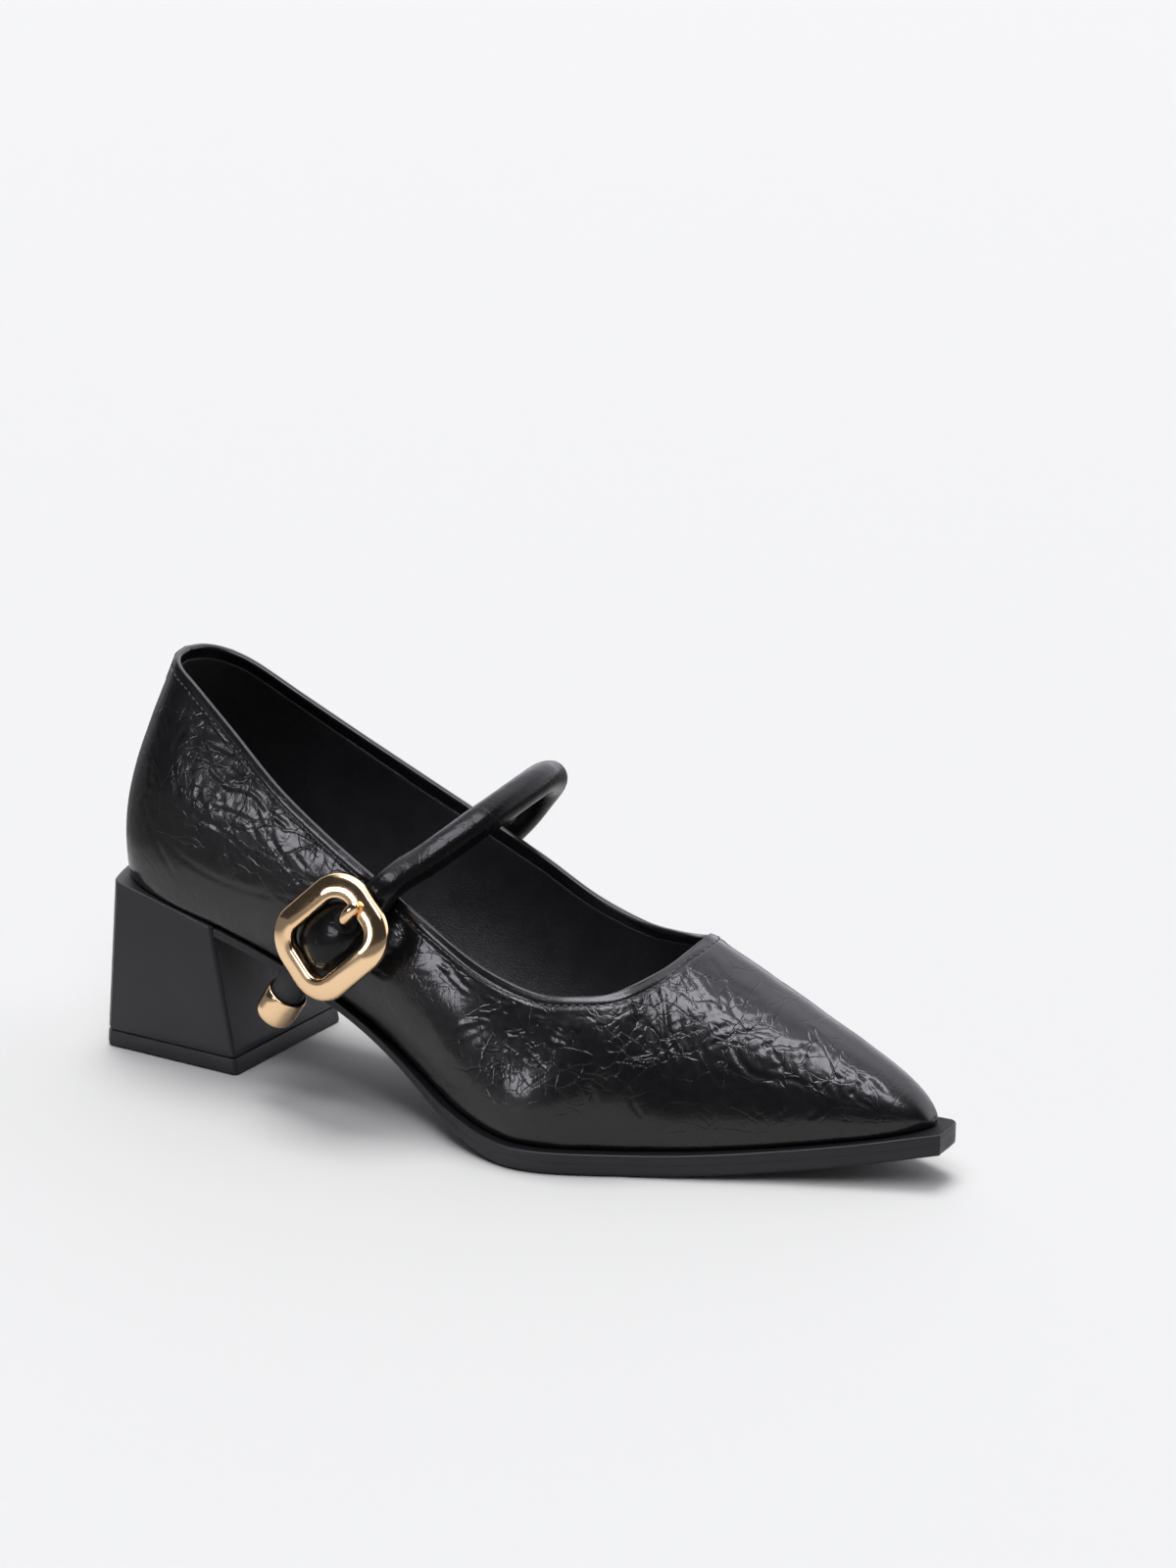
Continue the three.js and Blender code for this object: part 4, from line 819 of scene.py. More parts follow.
# ---------------------------------------------------------------- outsole
# levels up the edge: share of the thickness, inset from the outline (mm)
EDGE = [(0.0, 1.1), (0.03, 0.55), (0.10, 0.12), (0.20, 0.0), (0.52, 0.0), (0.545, 0.02), (0.565, 0.07), (0.585, 0.02), (0.61, 0.0),
        (0.90, 0.0), (0.955, 0.08), (0.99, 0.28), (1.0, 0.55)]
xs = np.unique(np.concatenate([np.linspace(39.2, 248.5, 170), [248.5, 249.4, 250.1, 250.6, 251.0, 251.2]]))
tip_m = curve([248.5, 249.4, 250.1, 250.6, 251.0, 251.2], [20.8, 20.15, 19.5, 18.8, 17.9, 15.5])
yl, ym = sole_l(xs), np.where(xs >= 248.5, tip_m(xs), sole_m(xs))


def inset_line(x, y, sgn, d):
    tx, ty = np.gradient(x), np.gradient(y)
    L = np.hypot(tx, ty)
    return x + sgn * (ty / L) * d, y - sgn * (tx / L) * d


K_S = 14
vts, fcs, ring = [], [], []
for f, ins in EDGE:
    xl, yl2 = inset_line(xs, yl, -1, ins)
    xm, ym2 = inset_line(xs, ym, 1, ins)
    xl[-1], yl2[-1] = xs[-1] - ins, yl[-1] + ins * 0.6
    xm[-1], ym2[-1] = xs[-1] - ins, ym[-1]
    xl[0], xm[0] = xs[0] + ins * 0.2, xs[0] + ins * 0.2
    ring.append((np.stack([xl, yl2], 1), np.stack([xm, ym2], 1)))


def sole_z(x, f):
    return sole_bottom(x) + sole_t(x) * f


n_x = len(xs)
idx = {}
for r_i, ((Lr, Mr), (f, ins)) in enumerate(zip(ring, EDGE)):
    for nm, C in (("l", Lr), ("m", Mr)):
        idx[nm, r_i] = len(vts)
        vts += [(p[0], p[1], float(sole_z(p[0], f))) for p in C]
for r_i in range(len(EDGE) - 1):
    for nm, fl in (("l", False), ("m", True)):
        a, b_ = idx[nm, r_i], idx[nm, r_i + 1]
        for i in range(n_x - 1):
            q = (a + i, a + i + 1, b_ + i + 1, b_ + i)
            fcs.append(q[::-1] if fl else q)
    for i, fl in ((0, True), (n_x - 1, False)):
        q = (idx["l", r_i] + i, idx["m", r_i] + i, idx["m", r_i + 1] + i, idx["l", r_i + 1] + i)
        fcs.append(q[::-1] if fl else q)
for r_i, fl in ((0, True), (len(EDGE) - 1, False)):
    Lr, Mr = ring[r_i]
    f = EDGE[r_i][0]
    cols = []
    for j in range(K_S + 1):
        if j == 0:
            cols.append([idx["l", r_i] + i for i in range(n_x)])
        elif j == K_S:
            cols.append([idx["m", r_i] + i for i in range(n_x)])
        else:
            start = len(vts)
            C = Lr + (Mr - Lr) * j / K_S
            vts += [(p[0], p[1], float(sole_z(p[0], f))) for p in C]
            cols.append([start + i for i in range(n_x)])
    for j in range(K_S):
        for i in range(n_x - 1):
            q = (cols[j][i], cols[j][i + 1], cols[j + 1][i + 1], cols[j + 1][i])
            fcs.append(q[::-1] if fl else q)
outsole = make("outsole_unit", at(vts), fcs, M_SOLE, "outsole")
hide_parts("outsole")
outsole.data.materials.append(M_LEDGE_SHADE)
# upward-facing sole faces take the darker copy: painted shade on the ledge
for p in outsole.data.polygons:
    if p.normal.z > 0.80:
        p.material_index = 1


def crisp(ob, angle=32):
    """Sharp edges stay sharp under smooth shading."""
    me = ob.data
    import bmesh
    bm = bmesh.new()
    bm.from_mesh(me)
    for e in bm.edges:
        if len(e.link_faces) == 2 and e.calc_face_angle(0) > math.radians(angle):
            e.smooth = False
    bm.to_mesh(me)
    bm.free()


crisp(outsole, 38)

# ---------------------------------------------------------------- heel
def heel_ring(k, inset=0.0, r=1.3):
    x0 = SEAT_BACK * k + inset
    x1 = HEEL_L1 + (SEAT_FRONT - HEEL_L1) * k - inset
    h = HEEL_HALF + (SEAT_HALF - HEEL_HALF) * k - inset
    pts = []
    for sy, a0 in ((-1, -90), (1, 0)):
        for q in range(7):
            a = math.radians(a0 + 15 * q)
            pts.append((x1 - r + r * math.cos(a), sy * (h - r) + r * math.sin(a)))
    # back: bowed face with its own small corner rounds
    n = 40
    back = []
    for i in range(n + 1):
        f = 1 - 2 * i / n
        y = (h - r * 0.35) * f
        e = 1 - abs(f)
        back.append((x0 - BACK_SAG * (1 - f * f) + 0.9 * max(0, 1 - e * 18) ** 2, y))
    pts.append((x1 - 12, h)); pts.append((x0 + 14, h)); pts.append((x0 + 3, h)); pts.append((x0 + 1.4, h - 0.05))
    pts += back
    pts.append((x0 + 1.4, -h + 0.05)); pts.append((x0 + 3, -h)); pts.append((x0 + 14, -h)); pts.append((x1 - 12, -h))
    return pts


def stack(name, levels, mat, slot, crisp_at=30):
    V, F, n = [], [], len(levels[0])
    for L in levels:
        V += L
    for k in range(len(levels) - 1):
        for i in range(n):
            j = (i + 1) % n
            F.append((k * n + i, k * n + j, (k + 1) * n + j, (k + 1) * n + i))
    F.append(tuple(range(n))[::-1])
    F.append(tuple((len(levels) - 1) * n + i for i in range(n)))
    ob = make(name, at(V), F, mat, slot)
    crisp(ob, crisp_at)
    return ob


mean_h = (SEAT_Z0 + float(seat_z(SEAT_FRONT))) / 2


def level(z, inset):
    return [(x, y, z) for x, y in heel_ring(z / mean_h, inset)]


top_piece = stack("heel_tread", [level(0.0, 1.0), level(0.12, 0.55), level(0.5, 0.12), level(1.0, 0.0), level(TOP_PIECE - 0.5, 0.0),
                                 level(TOP_PIECE - 0.15, 0.10), level(TOP_PIECE, 0.32)], M_TREAD, "heel_rubber")
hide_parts("heel_top_piece")
rings = [level(TOP_PIECE + GAP, 0.45), level(TOP_PIECE + GAP + 0.12, 0.2), level(TOP_PIECE + GAP + 0.5, 0.0)]
for f in (0.16, 0.3, 0.45, 0.6, 0.75, 0.9):
    rings.append([(x, y, (TOP_PIECE + 1) + (float(seat_z(x)) - TOP_PIECE - 1) * (f - 0.12) / 0.88) for x, y in heel_ring(f)])
for dz, ins in ((0.55, 0.0), (0.2, 0.08), (0.04, 0.3), (0.0, 0.55)):
    rings.append([(x, y, float(seat_z(x)) - dz) for x, y in heel_ring(1 - dz / 45, ins)])
heel = stack("heel_cover_block", rings, M_HEEL, "heel_cover")
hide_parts("heel_block")

# ---------------------------------------------------------------- strap
REST = 0.45
STRAP = []
for x, z, w, h, off in ((80.0, 33.6, 4.2, 2.2, 2.0), (83.2, 39.4, 4.4, 3.0, 1.8), (88.5, 48.5, 4.5, 4.2, 0.9), (95.0, 59.0, 4.5, 4.5, 0.6)):
    STRAP.append((on_wall(1, x, z, h + off), w, h))
for p in ((102.0, 39.6, 68.6), (106.4, 41.1, 74.7), (111.0, 39.9, 80.3), (115.0, 34.4, 84.3), (117.4, 26.0, 86.5), (118.6, 17.0, 86.4),
          (117.8, 8.0, 84.6), (115.4, -0.4, 81.7), (111.2, -8.2, 77.3), (106.6, -16.0, 72.7), (103.2, -22.6, 69.8), (101.0, -27.3, 67.0)):
    STRAP.append((np.array(p), 4.5, 4.5))
for x, z, w, h, off in ((98.2, 62.6, 4.9, 4.0, 0), (94.4, 58.6, 6.4, 3.9, 0.9), (90.8, 55.5, 7.8, 4.6, 2.0), (87.0, 52.1, 8.0, 4.8, 2.3),
                        (83.2, 48.5, 7.8, 4.5, 1.9), (79.8, 45.0, 6.3, 3.8, 0.7)):
    STRAP.append((on_wall(-1, x, z, h + REST + off), w, h))
RIM, HANG = np.array([69.4, -30.2, 31.5]), unit(np.array([-0.556, 0.007, -0.831]))
for p, w, h in (((76.1, -31.6, 41.8), 4.9, 3.5), ((72.8, -31.1, 37.0), 4.7, 4.3), (RIM, 4.7, 4.7), (RIM + 4 * HANG, 4.7, 4.7)):
    STRAP.append((np.array(p), w, h))


def catmull(nodes, sub):
    n, out = len(nodes), []
    pad = [np.concatenate([p, [w, h]]) for p, w, h in nodes]
    for i in range(n - 1):
        a, b_, c, d = pad[max(0, i - 1)], pad[i], pad[i + 1], pad[min(n - 1, i + 2)]
        for k in range(sub):
            t_ = k / sub
            out.append(0.5 * (2 * b_ + (c - a) * t_ + (2 * a - 5 * b_ + 4 * c - d) * t_ * t_ + (3 * b_ - a - 3 * c + d) * t_ ** 3))
    out.append(pad[-1])
    return np.array(out)


def tube(path, ring, shape=None):
    """Rings along path rows (x y z w h); shape(i, angle, arc) scales the radius."""
    P = path[:, :3]
    T = unit(np.gradient(P, axis=0))
    y = np.clip((P[:, 1] - 6) / 30, -1, 1)
    y2 = np.clip((P[:, 1] - 6) / 34, -1, 1)
    out = unit(np.stack([np.full(len(P), 0.05), y, 0.35 + 0.9 * (1 - np.abs(y2))], 1))
    W = unit(np.cross(T, out))
    H = np.cross(W, T)
    arc = np.concatenate([[0], np.cumsum(np.linalg.norm(np.diff(P, axis=0), axis=1))])
    ang = 2 * np.pi * np.arange(ring) / ring
    A, S_ = np.meshgrid(ang, arc)
    k = np.ones_like(A) if shape is None else shape(S_, A)
    c, s = np.cos(A) * path[:, 3:4] * k, np.sin(A) * path[:, 4:5] * k
    return P[:, None] + W[:, None] * c[..., None] + H[:, None] * s[..., None], arc, W, H


def strap_shape(S_, A):
    seam = np.exp(-((A - 1.5 * np.pi) / 0.10) ** 2)
    k = 1 - 0.055 * seam
    k += 0.006 * np.sin(S_ * 0.35 + 2 * np.sin(S_ * 0.11) + 2.1 * np.cos(A)) + 0.0015 * np.sin(S_ * 1.3 + 3 * A)
    # a few pinched folds where it bends
    for s0, a0, d in ((62, 1.2, 0.012), (71, 1.9, 0.010), (84, 1.4, 0.010), (97, 1.0, 0.012), (111, 1.8, 0.010), (122, 1.3, 0.010)):
        k -= d * np.exp(-((S_ - s0 - 1.2 * np.sin(2 * A)) / 0.7) ** 2) * np.exp(-((A - a0) / 0.8) ** 2)
    pad = np.clip((PAD_W(S_) - 5.2) / 1.6, 0, 1)
    c, s = np.abs(np.cos(A)), np.abs(np.sin(A))
    return k * (1 - pad + pad * (c ** 2.35 + s ** 2.35) ** (-1 / 2.35))


sub, RING = 14, 44
path = catmull(STRAP, sub)
_arc = np.concatenate([[0], np.cumsum(np.linalg.norm(np.diff(path[:, :3], axis=0), axis=1))])


def PAD_W(S_):
    return np.interp(S_, _arc, path[:, 3])


rings_, arc, Wd, Hd = tube(path, RING, strap_shape)


def tube_mesh(name, rg, mat, slot, cap=True):
    n, m = rg.shape[:2]
    V = rg.reshape(-1, 3).tolist()
    F = grid_faces(n, m, 0, False, close_m=True)
    if cap:
        V += [rg[0].mean(0).tolist(), rg[-1].mean(0).tolist()]
        for k in range(m):
            l = (k + 1) % m
            F.append((n * m, k, l))
            F.append((n * m + 1, (n - 1) * m + l, (n - 1) * m + k))
    V = np.array(V)
    vol = 0.0
    for f in F:
        a = V[f[0]]
        for q in range(1, len(f) - 1):
            vol += a @ np.cross(V[f[q]], V[f[q + 1]])
    if vol < 0:
        F = [f[::-1] for f in F]
    return make(name, at(V), F, mat, slot)


strap = tube_mesh("strap_roll", rings_, M_STRAP, "upper_leather")
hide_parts("strap")
strap.data.materials.append(M_TAIL)
tail_z = 0.0435
for p in strap.data.polygons:
    c = p.center
    if c.y < -0.02 and c.z < tail_z:
        p.material_index = 1
a_ = strap.data.attributes.new("crinkle", "FLOAT", "POINT")
a_.data.foreach_set("value", np.full(len(strap.data.vertices), 0.40, np.float32))

# ---------------------------------------------------------------- buckle
BC = np.array([89.0, -37.3, 53.4])
BN = unit(np.array([0.02, -1, 0.13]))
B1 = np.array([0.725, 0, 0.69])
B1 = unit(B1 - BN * (B1 @ BN))
B2 = np.cross(BN, B1)


def on_buckle(a, b_, n_):
    return BC + B1 * a + B2 * b_ + BN * n_


hl, hw, RC = (BUCKLE_L - BUCKLE_BAR) / 2, (BUCKLE_W - BUCKLE_BAR) / 2, 7.8
loop = []
for cx, cy, a0 in ((hl - RC, hw - RC, 0), (-(hl - RC), hw - RC, 90), (-(hl - RC), -(hw - RC), 180), (hl - RC, -(hw - RC), 270)):
    for k in range(20):
        a = math.radians(a0 + 90 * k / 19)
        loop.append((cx + RC * math.cos(a), cy + RC * math.sin(a), math.cos(a), math.sin(a)))
# section of the bar, across (in -, out +) and height: it rises in one long slope from
# the outer edge to a flat lip round the window
SEC = []
TOP_SEC = ((1.0, 0.0), (0.985, 0.16), (0.94, 0.32), (0.86, 0.45), (0.74, 0.57), (0.60, 0.67), (0.44, 0.76), (0.26, 0.84), (0.08, 0.905), (-0.10, 0.955),
           (-0.26, 0.985), (-0.38, 1.0), (-0.50, 0.995), (-0.62, 0.985), (-0.74, 0.965), (-0.84, 0.92), (-0.92, 0.80), (-0.97, 0.58), (-0.995, 0.28))
for c, h_ in TOP_SEC:
    SEC.append((c * BUCKLE_BAR / 2, h_ * BUCKLE_T * 0.68))
for k in range(1, 16):
    q = math.pi + math.pi * k / 16
    SEC.append((math.cos(q) * BUCKLE_BAR / 2, math.copysign(abs(math.sin(q)) ** 0.6, math.sin(q)) * BUCKLE_T * 0.38))
rg = []
for a, b_, ca, sa in loop:
    bend = -0.006 * a * a
    rg.append([on_buckle(a + ca * c, b_ + sa * c, s + bend) for c, s in SEC])
rg = np.array(rg)
V = rg.reshape(-1, 3)
F = grid_faces(len(loop), len(SEC), 0, True, close_m=True, close_n=True)
buckle = make("buckle_ring", at(V), F, M_GOLD, "gold_metal")
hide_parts("buckle_frame")
# prong: a round pin from under the ring's upper end into the strap's hole
pr = [(np.array(on_buckle(15.3, 1.35, 2.6)), 0.9, 0.8), (np.array(on_buckle(14.6, 1.3, 3.1)), 1.5, 1.4), (np.array(on_buckle(12.8, 1.1, 3.5)), 1.65, 1.5),
      (np.array(on_buckle(10.8, 0.8, 3.3)), 1.65, 1.5), (np.array(on_buckle(9.0, 0.55, 2.5)), 1.55, 1.5), (np.array(on_buckle(7.7, 0.4, 1.5)), 1.1, 1.1)]
pp = catmull(pr, 8)
prg, _, _, _ = tube(pp, 20)
prong = tube_mesh("buckle_pin", prg, M_GOLD, "gold_metal")
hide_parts("buckle_prong")

# ---------------------------------------------------------------- ferrule
U_ = unit(np.cross(HANG, [0, 1, 0]))
V_ = np.cross(HANG, U_)
R_, L_ = FERRULE_R, FERRULE_L
prof = [(4.6, 0.0), (4.6, 4.9), (4.4, 5.08), (0.3, 5.1), (0.05, 5.2), (-0.05, 5.42), (0.05, 5.62), (0.3, R_), (L_ * 0.3, R_ + 0.02), (L_ * 0.6, R_),
        (L_ - 2.4, R_ - 0.06), (L_ - 1.5, R_ - 0.28), (L_ - 0.85, R_ - 0.75), (L_ - 0.4, R_ - 1.45), (L_ - 0.1, R_ - 2.6), (L_, R_ - 4.2), (L_, 0.0)]
nf_ = 64
V = [RIM + HANG * k + (U_ * math.cos(2 * math.pi * j / nf_) + V_ * math.sin(2 * math.pi * j / nf_)) * r for k, r in prof for j in range(nf_)]
V, F, _ = weld(np.array(V), grid_faces(len(prof), nf_, 0, False, close_m=True), 0.001)
ferrule = make("ferrule_cup", at(V), F, M_GOLD, "gold_metal")
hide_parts("strap_ferrule")

# ---------------------------------------------------------------- stitches
def stitch_run(name, line, offset, pitch, length, rad, lift=0.02, closed=False, skip=None):
    """Thread stitches in the groove beside a topline: one joined mesh."""
    L = np.asarray(line, float)
    seg = np.linalg.norm(np.diff(L, axis=0), axis=1)
    arc_ = np.concatenate([[0], np.cumsum(seg)])
    V, F = [], []
    ring_n, k_n = 6, 7
    s = pitch * 0.5
    while s < arc_[-1] - pitch * 0.5:
        pts = []
        for q in np.linspace(-0.5, 0.5, k_n):
            u = s + q * length
            p = np.array([np.interp(u, arc_, L[:, c]) for c in range(3)])
            p2 = np.array([np.interp(u + 0.8, arc_, L[:, c]) for c in range(3)])
            p1 = np.array([np.interp(u - 0.8, arc_, L[:, c]) for c in range(3)])
            tan = unit(p2 - p1)
            sd = offset(p, tan)
            if sd is None:
                pts = None
                break
            pts.append(sd)
        if pts is not None:
            C = np.array([p for p, n_ in pts])
            Nn = np.array([n_ for p, n_ in pts])
            T = unit(np.gradient(C, axis=0))
            Wn = unit(np.cross(T, Nn))
            b0 = len(V)
            for i in range(k_n):
                f = abs(i / (k_n - 1) - 0.5) * 2
                r = rad * math.sqrt(max(0.02, 1 - f ** 6))
                c = C[i] + Nn[i] * (lift - 0.28 * f ** 3)
                for j in range(ring_n):
                    a = 2 * math.pi * j / ring_n
                    V.append(c + Wn[i] * math.cos(a) * r + Nn[i] * math.sin(a) * r * 0.8)
            F += grid_faces(k_n, ring_n, b0, False, close_m=True)
            F += [tuple(b0 + j for j in range(ring_n)), tuple(b0 + (k_n - 1) * ring_n + j for j in range(ring_n))[::-1]]
        s += pitch
    return make(name, at(np.array(V)), F, M_THREAD, "upper_leather")


def beside_top(dist):
    def f(p, tan):
        # walk down the skin from the edge, then drop onto it
        n_top = top_normal(p)
        down = unit(np.cross(n_top, tan))
        if down[2] > 0:
            down = -down
        q = p + down * dist + n_top * 0.4
        hit, nrm, _, _ = SKIN.find_nearest(Vector(q))
        if hit is None:
            return None
        nrm = np.array(nrm)
        if nrm @ n_top < 0:
            nrm = -nrm
        return np.array(hit), unit(0.5 * nrm + 0.5 * n_top)
    return f


# the edge of the skin and its normals, from the back up the outer side, round the throat and back
_e = [int(INV[cell[0, i, MV - 2]]) for i in range(nt)] + [int(INV[cell[1, i, MV - 2]]) for i in range(nt - 2, -1, -1)]
_o = [int(INV[cell[0, i, MV - 1]]) for i in range(nt)] + [int(INV[cell[1, i, MV - 1]]) for i in range(nt - 2, -1, -1)]
EDGE_LINE, EDGE_N = SKIN_P[_o], NRM[_e]


def top_normal(p):
    k = int(np.argmin(((EDGE_LINE - p) ** 2).sum(1)))
    a, b_ = max(0, k - 4), min(len(EDGE_N), k + 5)
    return unit(EDGE_N[a:b_].mean(0))


stitches = stitch_run("topline_stitches", EDGE_LINE, beside_top(2.62), 2.15, 1.55, 0.23, lift=0.12)

# ---------------------------------------------------------------- back tab
# thin overlay folded over the collar's back: lower edge 12 mm down at the back line,
# rising to the inner topline; on the outer side it ends in the stitch groove
def tab_depth(side, s):
    if side > 0:
        return np.interp(s, [0, 0.6, 1.3, 2.0, 2.35], [12.0, 11.6, 9.4, 4.6, 0.2])
    return np.interp(s, [0, 0.5, 0.9, 1.1], [12.0, 11.2, 8.4, 6.8])


def tab_half(side, s_end, ns, nv, base):
    V, F = [], []
    S = np.linspace(0, s_end, ns)
    for s in S:
        L = np.linspace(0.70, 1, 60)
        P = upper_pt(side, np.full(60, s), L)
        d = np.concatenate([[0], np.cumsum(np.linalg.norm(np.diff(P[::-1], axis=0), axis=1))])
        want = np.linspace(0, 1, nv) * float(tab_depth(side, s))
        v = np.interp(want, d, L[::-1])
        P = upper_pt(side, np.full(nv, s), v)
        n = upper_nm(side, np.full(nv, s), np.clip(v, 0.012, 0.985))
        if s == 0:
            n[:, 1] = 0
            n = unit(n)
        edge_in = np.minimum(1, (float(tab_depth(side, s)) - want) / 0.6)
        end_in = min(1.0, (s_end - s) / 0.05 * 0.5) if side < 0 else min(1.0, float(tab_depth(side, s)) / 1.5)
        lift = 0.34 * np.sqrt(np.clip(edge_in, 0, 1)) * max(end_in, 0.0) ** 0.5 - 0.08
        V.append(P + n * lift[:, None])
    V = np.array(V)
    F = grid_faces(ns, nv, base, side < 0)
    return V.reshape(-1, 3), F


ta, fa = tab_half(-1, 1.1, 34, 30, 0)
tb, fb = tab_half(1, 2.35, 60, 30, len(ta))
tv, tf, _ = weld(np.concatenate([ta, tb]), fa + fb, 0.02)
tab = make("back_tab", at(tv), tf, M_UPPER, "upper_leather")
a_ = tab.data.attributes.new("crinkle", "FLOAT", "POINT")
a_.data.foreach_set("value", np.full(len(tab.data.vertices), 0.25, np.float32))


# ---------------------------------------------------------------- strap holes
def disc(name, c, n, r, mat, slot, depth=0.5, ring_mat=None):
    n = unit(n)
    u = unit(np.cross(n, [0.3, 0.2, 1]))
    w = np.cross(n, u)
    V, F, m = [], [], 28
    prof_ = [(r * 1.75, 0.03), (r * 1.35, 0.16), (r * 1.08, 0.10), (r * 0.96, -0.06), (r * 0.8, -depth), (0.0, -depth)]
    for rr, hh in prof_:
        for j in range(m):
            a = 2 * math.pi * j / m
            V.append(c + u * math.cos(a) * rr + w * math.sin(a) * rr + n * hh)
    F = grid_faces(len(prof_), m, 0, True, close_m=True)
    V, F, _ = weld(np.array(V), F, 0.001)
    return make(name, at(V), F, mat, slot)


# painted shade: a dull near-black dish stands in for the shaded inside of each strap hole
k_hole_shade = Nodes("hole_shade", (0.0035, 0.0035, 0.0035), 0.7, spec=0.2)
k_hole_shade.bump(k_hole_shade.noise(1200, 2, 0.5), 0.00003, 0.5)
M_HOLE_SHADE = k_hole_shade.done(coat=False)
strap_pts = rings_.reshape(-1, 3)
STRAP_T = BVHTree.FromPolygons([tuple(v) for v in strap_pts], grid_faces(rings_.shape[0], rings_.shape[1], 0, False, close_m=True))


def on_strap(a, b_):
    """Where a line into the buckle's window at (a, b_) meets the strap."""
    o = on_buckle(a, b_, 12)
    hit, nrm, _, _ = STRAP_T.ray_cast(Vector(o), Vector(-BN))
    nrm = np.array(nrm)
    if nrm @ BN < 0:
        nrm = -nrm
    return np.array(hit), nrm


for i, (a, b_, r) in enumerate(((7.3, 0.4, 1.9), (-3.6, 1.2, 0.62))):
    p, n_ = on_strap(a, b_)
    disc("strap_hole_%d" % (i + 1), p, n_, r, M_HOLE_SHADE, "upper_leather", depth=0.35)

# ---------------------------------------------------------------- floor, light, camera
def floor_material():
    k = Nodes("pale_floor", (0.268, 0.269, 0.260), 0.7, spec=0.1)
    k.bump(k.noise(30, 3, 0.5), 0.0003, 0.05)
    # painted reflection: for glossy rays the floor is painted darker beyond 0.13-0.24 m from the reflecting point, a
    # painted shade in what the leather mirrors; seen directly it stays evenly pale
    path = k.n("ShaderNodeLightPath")
    mirror_shade = k.map(path.outputs["Ray Length"], 0.13, 0.24, 0.0, 0.78)
    k.tint(k.math("MULTIPLY", mirror_shade, path.outputs["Is Glossy Ray"]), (0.268, 0.269, 0.260), (0.0, 0.0, 0.0))
    return k.done(coat=False)


fm = floor_material()
verts_ = [(x * 12.0, y * 12.0, 0.0) for x in (-1, 1) for y in (-1, 1)]
faces_ = [(0, 2, 3, 1)]
me = bpy.data.meshes.new("floor")
me.from_pydata(verts_, [], faces_)
me.polygons.foreach_set("use_smooth", [True] * len(me.polygons))
floor = bpy.data.objects.new("floor", me)
bpy.context.scene.collection.objects.link(floor)
me.materials.append(fm)

# The studio is one dome: dark in front, paler behind and overhead, with a long
# softbox over the shoe and a small one low on the left.
world = bpy.data.worlds.new("studio")
bpy.context.scene.world = world
world.use_nodes = True
wt = world.node_tree
bg = next(n for n in wt.nodes if n.type == "BACKGROUND")
DIR = wt.nodes.new("ShaderNodeTexCoord").outputs["Generated"]


def wmath(op, a, b=None):
    x = wt.nodes.new("ShaderNodeMath")
    x.operation = op
    for i, v in enumerate((a, b)):
        if v is None:
            continue
        if isinstance(v, (int, float)):
            x.inputs[i].default_value = v
        else:
            wt.links.new(v, x.inputs[i])
    return x.outputs[0]


def wdot(v):
    x = wt.nodes.new("ShaderNodeVectorMath")
    x.operation = "DOT_PRODUCT"
    wt.links.new(DIR, x.inputs[0])
    x.inputs[1].default_value = tuple(float(c) for c in v)
    return x.outputs["Value"]


def wstep(v, a, b, c=0.0, d=1.0):
    x = wt.nodes.new("ShaderNodeMapRange")
    x.interpolation_type = "SMOOTHSTEP"
    wt.links.new(v, x.inputs["Value"])
    for k_, q in (("From Min", a), ("From Max", b), ("To Min", c), ("To Max", d)):
        x.inputs[k_].default_value = q
    return x.outputs["Result"]


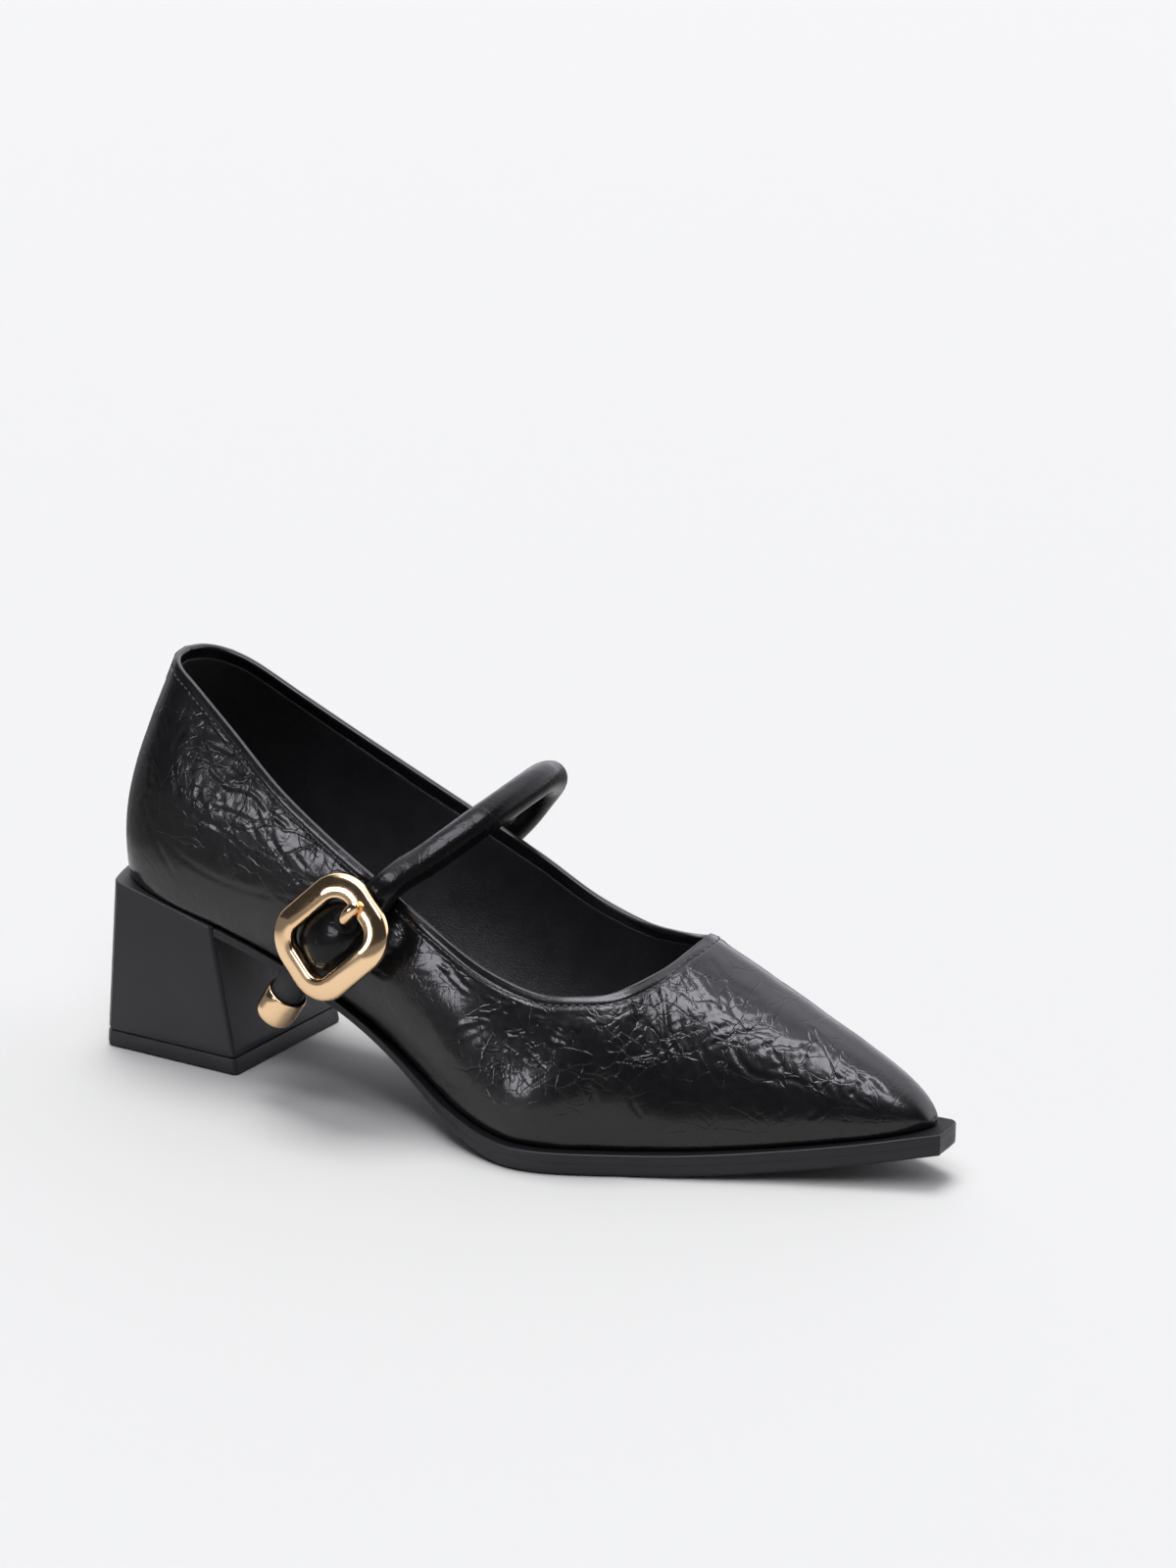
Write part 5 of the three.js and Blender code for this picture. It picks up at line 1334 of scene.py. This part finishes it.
def patch(centre, along, ha, hb, soft, radiance):
    """A soft-edged rectangular light in the dome: half sizes as tangents."""
    e0 = unit(np.array(centre, float))
    e1 = unit(np.array(along, float) - e0 * (np.array(along, float) @ e0))
    e2 = np.cross(e0, e1)
    f = wmath("MAXIMUM", wdot(e0), 0.05)
    a = wstep(wmath("ABSOLUTE", wmath("DIVIDE", wdot(e1), f)), ha - soft, ha + soft, 1.0, 0.0)
    b = wstep(wmath("ABSOLUTE", wmath("DIVIDE", wdot(e2), f)), hb - soft, hb + soft, 1.0, 0.0)
    on = wstep(wdot(e0), 0.10, 0.25)
    return wmath("MULTIPLY", wmath("MULTIPLY", wmath("MULTIPLY", a, b), on), radiance)


sky = wmath("ADD", wstep(wdot((0, 1, 0)), -0.1, 0.55, 0.04, 1.7), wstep(wdot((0, 0, 1)), 0.70, 0.96, 0.0, 1.3))
for q in (patch((0.16, -0.41, 1.0), (0.966, -0.259, 0), 0.60, 0.15, 0.07, 9.0),
          patch((-0.378, -0.9125, 0.156), (0.924, -0.383, 0), 0.16, 0.088, 0.045, 9.4)):
    sky = wmath("ADD", sky, q)
bg.inputs["Color"].default_value = (0.965, 0.96, 1.045, 1)
wt.links.new(sky, bg.inputs["Strength"])
bpy.context.scene.view_settings.view_transform = "Standard"
# a wide overhead light for the floor's shadows; it isn't mirrored in the leather
sl = bpy.data.lights.new("overhead", "SUN")
sl.energy, sl.angle = 5.0, 0.48
so = bpy.data.objects.new("overhead", sl)
bpy.context.scene.collection.objects.link(so)
so.rotation_mode = "QUATERNION"
so.rotation_quaternion = Vector((-0.09, 0.18, 0.97)).to_track_quat("Z", "Y")
so.visible_glossy = False

cd = bpy.data.cameras.new("camera")
cam = bpy.data.objects.new("camera", cd)
bpy.context.scene.collection.objects.link(cam)
cd.sensor_fit, cd.sensor_width, cd.sensor_height = "AUTO", 36.0, 36.0
cd.lens = 3577.0 / 1600.0 * 36.0
az, el = math.radians(31.4), math.radians(17.3)
back = Vector((math.sin(az) * math.cos(el), -math.cos(az) * math.cos(el), math.sin(el)))
right = Vector((math.cos(az), math.sin(az), 0.0))
upv = back.cross(right)
roll = math.radians(0.1)
r2 = right * math.cos(roll) + upv * math.sin(roll)
u2 = upv * math.cos(roll) - right * math.sin(roll)
tgt = Vector(((53.2 - ORIGIN_X) * MM, 155.5 * MM, 40.0 * MM))
cam.rotation_mode = "QUATERNION"
cam.rotation_quaternion = Matrix((r2, u2, back)).transposed().to_quaternion()
cam.location = tgt + back * 1.127
cd.clip_start, cd.clip_end = 0.05, 50.0
bpy.context.scene.camera = cam
